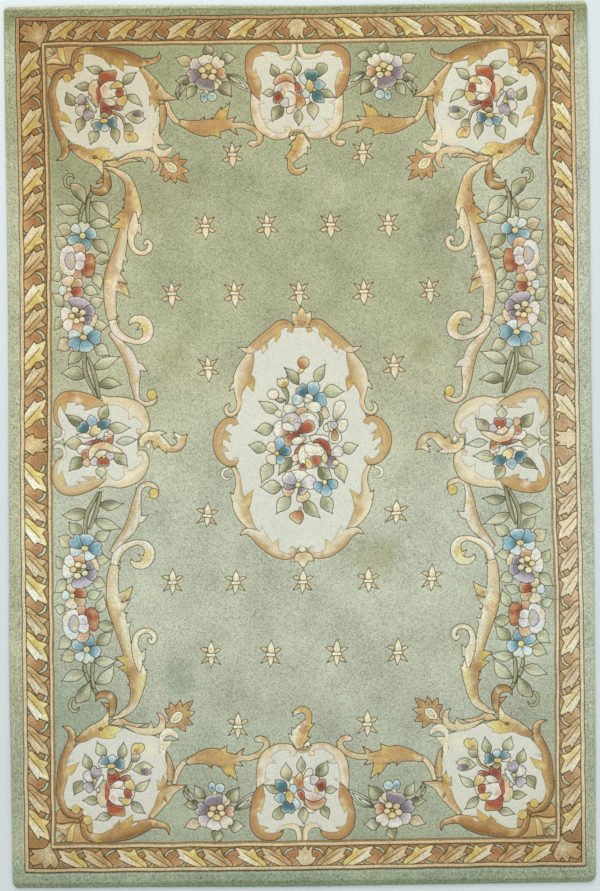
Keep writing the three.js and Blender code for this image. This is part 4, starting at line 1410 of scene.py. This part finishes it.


# Painted light and shade over the motifs and the border, where light falls unevenly on the nap: soft
# clouds painted darker and yellower or lighter and bluer; x, y, how far each reaches across and up, and
# what it does to red, green and blue
paintedLightClouds = [
    (-900, 1380, 560, 420, (0.73, 0.64, 0.47)), (-560, 1345, 520, 50, (0.82, 0.75, 0.62)),
    (200, 1250, 700, 300, (0.96, 0.97, 0.90)), (-830, 800, 70, 420, (0.92, 0.89, 0.82)),
    (0, -250, 1100, 520, (1.03, 1.09, 1.11)), (800, 1345, 180, 50, (0.90, 0.85, 0.80)),
    (0, -700, 1100, 330, (1.0, 1.08, 1.13)), (-830, -280, 60, 150, (1.05, 1.09, 1.15)),
    (-900, -1350, 200, 120, (0.78, 0.76, 0.67)), (900, -1350, 300, 120, (0.77, 0.70, 0.59)),
    (-830, 30, 50, 110, (0.93, 0.90, 0.86)), (-840, 0, 35, 700, (1.09, 1.10, 1.12)),
    (840, 0, 35, 700, (1.08, 1.10, 1.08)),
]


# How strongly the painted light and shade show on the pale grounds
paintedLightOnPale = {"cartouches": 0.6, "medallions": 0.6}

# The border is painted paler and flatter towards one long side, a painted wash of light: from where and
# over how far across, its middle and reach up the side, the colour it fades to and how much of it
paintedLightWash = {"from": 778, "over": 14, "middle": -200, "reach": 560, "colour": (226, 214, 184), "share": 0.82}


def paintedLightShade(at):
    # Painted light and shade: how the clouds tint red, green and blue at each point
    shade = np.ones((len(at), 3))
    for x, y, across, up, tint in paintedLightClouds:
        near = np.exp(-((at[:, 0] - x) / across) ** 2 / 2 - ((at[:, 1] - y) / up) ** 2 / 2)
        shade *= 1 + (np.array(tint) - 1) * near[:, None]
    return shade


def lightWashed(at, colour):
    # Painted wash of light: the border's colour turns towards a pale one, less so on its darkest yarns
    along = np.exp(-((at[:, 1] - paintedLightWash["middle"]) / paintedLightWash["reach"]) ** 2 / 2)
    share = paintedLightWash["share"] * along * np.clip((at[:, 0] - paintedLightWash["from"]) / paintedLightWash["over"], 0, 1)
    light = np.clip((colour[:, 1] - 0.15) / 0.4, 0.35, 1)
    return mix(colour, toLinear(paintedLightWash["colour"]), share * light)


# Colour of every triangle corner, from the tone of the shape that it belongs to
cornerKey = region[:, None].astype(np.int64) * len(flatPoints) + flatTriangles
pairKey, cornerPair = np.unique(cornerKey, return_inverse=True)
pairRegion, pairVertex = pairKey // len(flatPoints), pairKey % len(flatPoints)
pairColour = np.ones((len(pairKey), 4))
firsts = np.searchsorted(pairRegion, np.arange(len(drawn) + 1))
for item, first, last in zip(drawn, firsts, firsts[1:]):
    if first == last:
        continue
    vertices = pairVertex[first:last]
    at = flatPoints[vertices]
    colour = item["tone"]((at - item["shift"]) @ item["back"].T, depthFrom[vertices])
    # Every piece except the margin and the field, which carry their own, gets the painted light and shade
    # and the painted wash of light
    if item["piece"] not in ("margin", "field"):
        colour = lightWashed(at, colour * paintedLightShade(at) ** paintedLightOnPale.get(item["piece"], 1.0))
    pairColour[first:last, :3] = colour
cornerColour = pairColour[cornerPair.ravel()].reshape(len(flatTriangles), 3, 4)
print("yarn coloured")


def makeMesh(name, points, faces, smooth=True):
    mesh = bpy.data.meshes.new(name)
    mesh.from_pydata(points, [], faces)
    mesh.polygons.foreach_set("use_smooth", np.full(len(mesh.polygons), smooth))
    mesh.update()
    thing = bpy.data.objects.new(name, mesh)
    bpy.context.collection.objects.link(thing)
    return thing


def dyeMesh(mesh, colours, away, ink):
    # Yarn colour, with the painted light and shade that the tones put in, at the corners of the faces;
    # distance to the nearest cut and its depth at the points
    layer = mesh.color_attributes.new(name="yarn", type="FLOAT_COLOR", domain="CORNER")
    layer.data.foreach_set("color", np.asarray(colours, np.float32).ravel())
    for name, values in (("carve", away), ("ink", ink)):
        layer = mesh.attributes.new(name, "FLOAT", "POINT")
        layer.data.foreach_set("value", np.asarray(values, np.float32))


pieceNames = ["margin", "border", "field", "cartouches", "medallions", "scrolls", "garlands", "bouquets",
    "sprigs"]
pieceOfShape = np.array([pieceNames.index(item["piece"]) for item in drawn])
pilePieces = {}
for number, name in enumerate(pieceNames):
    mine = pieceOfShape[region] == number
    used, local = np.unique(flatTriangles[mine], return_inverse=True)
    thing = makeMesh(name + "Pile", surface[used], local.reshape(-1, 3).tolist())
    dyeMesh(thing.data, cornerColour[mine], depthFrom[used], vertexInk[used])
    pilePieces[name] = thing
    print("pile piece", name, mine.sum(), "triangles")


def ringSolid(name, rings, heights, outward=True, smooth=True):
    # A closed solid through rings of as many points each, with a face over the first and the last
    count = len(rings[0])
    points = np.column_stack([np.concatenate(rings) - ringMiddle, np.concatenate(heights)]) / 1000
    around = np.arange(count)
    quad = np.stack([around, np.roll(around, -1), np.roll(around, -1) + count, around + count], 1)
    faces = np.concatenate([quad + level * count for level in range(len(rings) - 1)]).tolist()
    faces += [around[::-1].tolist(), (around + (len(rings) - 1) * count).tolist()]
    return makeMesh(name, points, faces if outward else [face[::-1] for face in faces], smooth)


# The body under the pile: rolled wool edge, hidden floor and flat underside, one closed solid
tuftRoughness = {"across": 0.7, "up": 0.4, "scale": 0.16}
rings, ringHeights = [], []
for insetBy, height in edgeProfile:
    ring = edgeRing(insetBy)
    rise = np.interp(height, [1.2, 14], [0, 1]) * unevenness(ring)
    if 0 < insetBy < rugSize["flatInset"]:
        rough = np.array([noise.noise(tuftRoughness["scale"] * Vector((x, y, height))) for x, y in ring])
        ring = ring + (outerRing - edgeRing(1.0)) * (rough * tuftRoughness["across"])[:, None]
        rise = rise + rough * tuftRoughness["up"]
    rings.append(ring)
    ringHeights.append(height + rise)
rings.append(edgeRing(rugSize["flatInset"] + rugSize["tuckedIn"]))
ringHeights.append(np.full(len(outerRing), rugSize["hiddenFloor"]))
rugBody = ringSolid("rugBody", rings, ringHeights)
corners = np.zeros(len(rugBody.data.loops), np.int32)
rugBody.data.loops.foreach_get("vertex_index", corners)
bodyFlat = np.concatenate(rings)
uncut = np.full(len(bodyFlat), 9.0)
# The rolled edge takes the margin's tone, with its painted highlight on the top rim, painted shade on the
# bottom rim and the painted crease
bodyColour = np.column_stack([marginTone(bodyFlat, uncut), np.ones(len(bodyFlat))])
dyeMesh(rugBody.data, bodyColour[corners], uncut, np.zeros(len(bodyFlat)))
print("body made:", len(rugBody.data.polygons), "faces")

# Underside: cotton cloth glued on, its edge turned in and sewn down along a hem
backing = {"inset": 9.0, "hem": 42.0, "hemRise": 0.5}
backRings = [(backing["inset"], 1.15), (backing["inset"] - 0.5, 0.6), (backing["inset"], 0.1),
    (backing["inset"] + 1.0, 0.0), (backing["hem"], 0.0), (backing["hem"] + 1.2, backing["hemRise"])]
backingCloth = ringSolid("backingCloth", [edgeRing(insetBy) for insetBy, _ in backRings],
    [np.full(len(outerRing), height) for _, height in backRings], outward=False, smooth=False)
print("backing made")


# Shader groups shared by the materials
def newGroup(name, inputs, outputs):
    # What goes in starts with a number or a colour; what comes out is a colour only where it says so
    group = bpy.data.node_groups.new(name, "ShaderNodeTree")
    for label, value in inputs.items():
        kind = "NodeSocketColor" if isinstance(value, tuple) else "NodeSocketFloat"
        socket = group.interface.new_socket(name=label, in_out="INPUT", socket_type=kind)
        socket.default_value = value
    for label in outputs:
        kind = "NodeSocketColor" if label == "Colour" else "NodeSocketFloat"
        group.interface.new_socket(name=label, in_out="OUTPUT", socket_type=kind)
    return group, group.nodes.new("NodeGroupInput").outputs, group.nodes.new("NodeGroupOutput").inputs


def connect(tree, value, socket):
    # A constant goes on the socket itself, anything else is linked to it
    if isinstance(value, (int, float, tuple)):
        socket.default_value = value
    else:
        tree.links.new(value, socket)


def mathNode(tree, operation, *values, clamp=False):
    node = tree.nodes.new("ShaderNodeMath")
    node.operation = operation
    node.use_clamp = clamp
    for value, socket in zip(values, node.inputs):
        connect(tree, value, socket)
    return node.outputs[0]


def blendNode(tree, mode, share, a, b):
    node = tree.nodes.new("ShaderNodeMix")
    node.data_type = "RGBA"
    node.blend_type = mode
    node.clamp_factor = True
    for number, value in ((0, share), (6, a), (7, b)):
        connect(tree, value, node.inputs[number])
    return node.outputs[2]


def textured(tree, kind, **settings):
    # A texture over the object's own place
    node = tree.nodes.new("ShaderNodeTex" + kind)
    tree.links.new(tree.nodes.new("ShaderNodeTexCoord").outputs["Object"], node.inputs["Vector"])
    for label, value in settings.items():
        connect(tree, value, node.inputs[label])
    return node


def valueOf(tree, name, output="Fac"):
    node = tree.nodes.new("ShaderNodeAttribute")
    node.attribute_name = name
    return node.outputs[output]


def makeTuftGrain():
    # Cut tufts: a fine cell for each tuft and clumps of several leaning together
    group, given, result = newGroup("tuft grain", {"Tufts per metre": 230.0, "Clumps per metre": 95.0},
        ["Tuft", "Clump", "Height"])
    tufts = textured(group, "Voronoi", Scale=given["Tufts per metre"], Randomness=0.85)
    clump = textured(group, "Noise", Scale=given["Clumps per metre"], Detail=3.0, Roughness=0.62).outputs[0]
    rounded = mathNode(group, "SUBTRACT", 1.0, tufts.outputs["Distance"], clamp=True)
    height = mathNode(group, "MULTIPLY_ADD", clump, 0.9, mathNode(group, "MULTIPLY", rounded, 0.6))
    for value, label in ((rounded, "Tuft"), (clump, "Clump"), (height, "Height")):
        group.links.new(value, result[label])
    return group


def makeDyeAndPaintedSheen():
    # Soft clouds over the rug, partly uneven dye and partly painted light and shade where the pile lies
    # differently, and each tuft a little lighter or darker
    group, given, result = newGroup("dye and painted sheen", {"Colour": (0.5, 0.5, 0.5, 1), "Tuft": 0.5, "Clump": 0.5,
        "Fleck": 0.3, "Cloud": 0.2, "Wash": 0.2}, ["Colour"])
    wide = textured(group, "Noise", Scale=5.5, Detail=4.0, Roughness=0.55)
    brushed = textured(group, "Noise", Scale=42.0, Detail=3.0, Roughness=0.6, Distortion=0.8)
    fleck = mathNode(group, "ADD", mathNode(group, "MULTIPLY_ADD", given["Clump"], 1.5, -0.75),
        mathNode(group, "MULTIPLY_ADD", given["Tuft"], 0.8, -0.45))
    shade = mathNode(group, "MULTIPLY_ADD", fleck, given["Fleck"], 1.0)
    for texture, share in ((wide, "Cloud"), (brushed, "Wash")):
        offMean = mathNode(group, "SUBTRACT", texture.outputs[0], 0.5)
        shade = mathNode(group, "MULTIPLY_ADD", offMean, given[share], shade)
    scaled = group.nodes.new("ShaderNodeVectorMath")
    scaled.operation = "SCALE"
    group.links.new(given["Colour"], scaled.inputs[0])
    group.links.new(shade, scaled.inputs["Scale"])
    group.links.new(scaled.outputs[0], result["Colour"])
    return group


def makeCarvedLine():
    # The dark line between two colours, partly dark outline yarn and partly painted shadow in the cut, and a
    # painted highlight on the slope beside it
    group, given, result = newGroup("carved line", {"Colour": (0.5, 0.5, 0.5, 1),
        "Line tint": (0.23, 0.18, 0.09, 1), "Darkness": 0.85, "Half width": 0.65, "Fade": 1.2, "Rim": 0.3,
        "Clump": 0.5}, ["Colour", "Line"])
    away, ink = valueOf(group, "carve"), valueOf(group, "ink")

    def falling(start, over, strength):
        # From full strength at start to nothing, where the cut is inked
        near = mathNode(group, "SUBTRACT", 1.0, mathNode(group, "DIVIDE", start, over), clamp=True)
        return mathNode(group, "MULTIPLY", near, mathNode(group, "MULTIPLY", ink, strength), clamp=True)

    ragged = mathNode(group, "ADD", away, mathNode(group, "MULTIPLY_ADD", given["Clump"], 1.4, -0.7))
    past = mathNode(group, "SUBTRACT", ragged, given["Half width"])
    line = falling(past, given["Fade"], given["Darkness"])
    # Painted highlight on the slope beside the cut
    beside = mathNode(group, "ABSOLUTE", mathNode(group, "SUBTRACT", away, 3.4))
    slope = falling(beside, 2.0, given["Rim"])
    rimHighlight = blendNode(group, "SCREEN", slope, given["Colour"], (0.35, 0.35, 0.3, 1))
    # The dark line: partly dark outline yarn, partly painted shadow in the cut
    dark = blendNode(group, "MULTIPLY", 1.0, given["Colour"], given["Line tint"])
    group.links.new(blendNode(group, "MIX", line, rimHighlight, dark), result["Colour"])
    group.links.new(line, result["Line"])
    return group


tuftGrain, dyeAndPaintedSheen, carvedLine = makeTuftGrain(), makeDyeAndPaintedSheen(), makeCarvedLine()


def addGroup(tree, group, **values):
    node = tree.nodes.new("ShaderNodeGroup")
    node.node_tree = group
    for label, value in values.items():
        connect(tree, value, node.inputs[label.replace("_", " ")])
    return node.outputs


def newMaterial(name, **settings):
    material = bpy.data.materials.new(name)
    material.use_nodes = True
    shader = material.node_tree.nodes["Principled BSDF"]
    for label, value in settings.items():
        shader.inputs[label.replace("_", " ")].default_value = value
    return material, material.node_tree, shader


def addBump(tree, shader, height, strength, distance):
    bump = tree.nodes.new("ShaderNodeBump")
    bump.inputs["Strength"].default_value = strength
    bump.inputs["Distance"].default_value = distance
    tree.links.new(height, bump.inputs["Height"])
    tree.links.new(bump.outputs["Normal"], shader.inputs["Normal"])


# One wool for each kind of yarn: how fine its tufts are and how much its dye and its painted light and shade
# vary
wools = {
    "fieldWool": {"tufts": 215.0, "clumps": 190.0, "fleck": 0.75, "cloud": 0.75, "wash": 0.12, "bump": 0.8,
        "sheen": 0.2, "line": 0.65},
    "marginWool": {"tufts": 200.0, "clumps": 170.0, "fleck": 0.95, "cloud": 0.5, "wash": 0.3, "bump": 1.0,
        "sheen": 0.2, "line": 0.65},
    "creamWool": {"tufts": 230.0, "clumps": 190.0, "fleck": 0.3, "cloud": 0.2, "wash": 0.1, "bump": 0.5,
        "sheen": 0.2, "line": 0.65},
    "borderWool": {"tufts": 240.0, "clumps": 150.0, "fleck": 0.65, "cloud": 0.35, "wash": 0.6, "bump": 0.5,
        "sheen": 0.15, "line": 1.0},
    "motifWool": {"tufts": 250.0, "clumps": 150.0, "fleck": 0.6, "cloud": 0.25, "wash": 0.4, "bump": 0.45,
        "sheen": 0.15, "line": 0.65},
}
woolOf = {"margin": "marginWool", "field": "fieldWool", "border": "borderWool", "cartouches": "creamWool",
    "medallions": "creamWool"}


def makeWool(name, look):
    material, tree, shader = newMaterial(name, Sheen_Weight=look["sheen"], Sheen_Roughness=0.6,
        Specular_IOR_Level=0.15)
    grain = addGroup(tree, tuftGrain, Tufts_per_metre=look["tufts"], Clumps_per_metre=look["clumps"])
    dyedAndShaded = addGroup(tree, dyeAndPaintedSheen, Colour=valueOf(tree, "yarn", "Color"), Tuft=grain["Tuft"],
        Clump=grain["Clump"], Fleck=look["fleck"], Cloud=look["cloud"], Wash=look["wash"])
    lined = addGroup(tree, carvedLine, Colour=dyedAndShaded["Colour"], Clump=grain["Clump"], Half_width=look["line"])
    tree.links.new(lined["Colour"], shader.inputs["Base Color"])
    rough = mathNode(tree, "MULTIPLY_ADD", grain["Clump"], 0.2, 0.8, clamp=True)
    tree.links.new(rough, shader.inputs["Roughness"])
    addBump(tree, shader, grain["Height"], look["bump"], 0.002)
    return material


def opaque(colour):
    return (*toLinear(colour), 1)


def makeBackingCanvas():
    material, tree, shader = newMaterial("backingCanvas", Roughness=0.9)
    warpThreads = textured(tree, "Wave", Scale=190.0, Distortion=0.6)
    weftThreads = textured(tree, "Wave", Scale=190.0, Distortion=0.6)
    weftThreads.bands_direction = "Y"
    stains = textured(tree, "Noise", Scale=9.0, Detail=4.0)
    weave = mathNode(tree, "MAXIMUM", warpThreads.outputs["Fac"], weftThreads.outputs["Fac"])
    cloth = blendNode(tree, "MIX", weave, opaque((168, 154, 122)), opaque((206, 194, 166)))
    cloth = blendNode(tree, "MULTIPLY", 0.25, cloth, stains.outputs["Fac"])
    tree.links.new(cloth, shader.inputs["Base Color"])
    addBump(tree, shader, weave, 0.5, 0.0006)
    return material


materials = {name: makeWool(name, look) for name, look in wools.items()}
for name, thing in pilePieces.items():
    thing.data.materials.append(materials[woolOf.get(name, "motifWool")])
    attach(thing, "root")
rugBody.data.materials.append(materials["marginWool"])
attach(rugBody, "root")
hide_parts("rug")
backingCloth.data.materials.append(makeBackingCanvas())
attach(backingCloth, "root")
print("materials given")

# Pale floor and soft studio light
floorLook = {"half": 10.0, "below": 0.0005, "paint": (214, 224, 226)}
square = [(-1, -1, 0), (1, -1, 0), (1, 1, 0), (-1, 1, 0)]
floor = makeMesh("floor", np.array(square) * floorLook["half"], [(0, 1, 2, 3)], smooth=False)
floor.location.z = -floorLook["below"]
floorPaint, _, _ = newMaterial("floorPaint", Base_Color=opaque(floorLook["paint"]), Roughness=0.8)
floor.data.materials.append(floorPaint)

# Lights aimed at the middle of the rug
lights = {
    "window": {"at": (-0.8, 3.4, 3.6), "size": 3.0, "power": 120},
    "fill": {"at": (1.5, -3.2, 4.0), "size": 3.5, "power": 45},
}
for name, look in lights.items():
    lamp = bpy.data.lights.new(name, "AREA")
    lamp.size = look["size"]
    lamp.energy = look["power"]
    thing = bpy.data.objects.new(name, lamp)
    thing.location = look["at"]
    x, y, z = look["at"]
    thing.rotation_euler = (math.atan2(math.hypot(x, y), z), 0, math.atan2(-y, -x) - math.pi / 2)
    bpy.context.collection.objects.link(thing)
world = bpy.data.worlds.new("studio")
world.use_nodes = True
background = world.node_tree.nodes["Background"].inputs
background["Color"].default_value = (1.0, 0.99, 0.97, 1)
background["Strength"].default_value = 0.62
bpy.context.scene.world = world
bpy.context.scene.view_settings.view_transform = "Standard"
print("lights set")
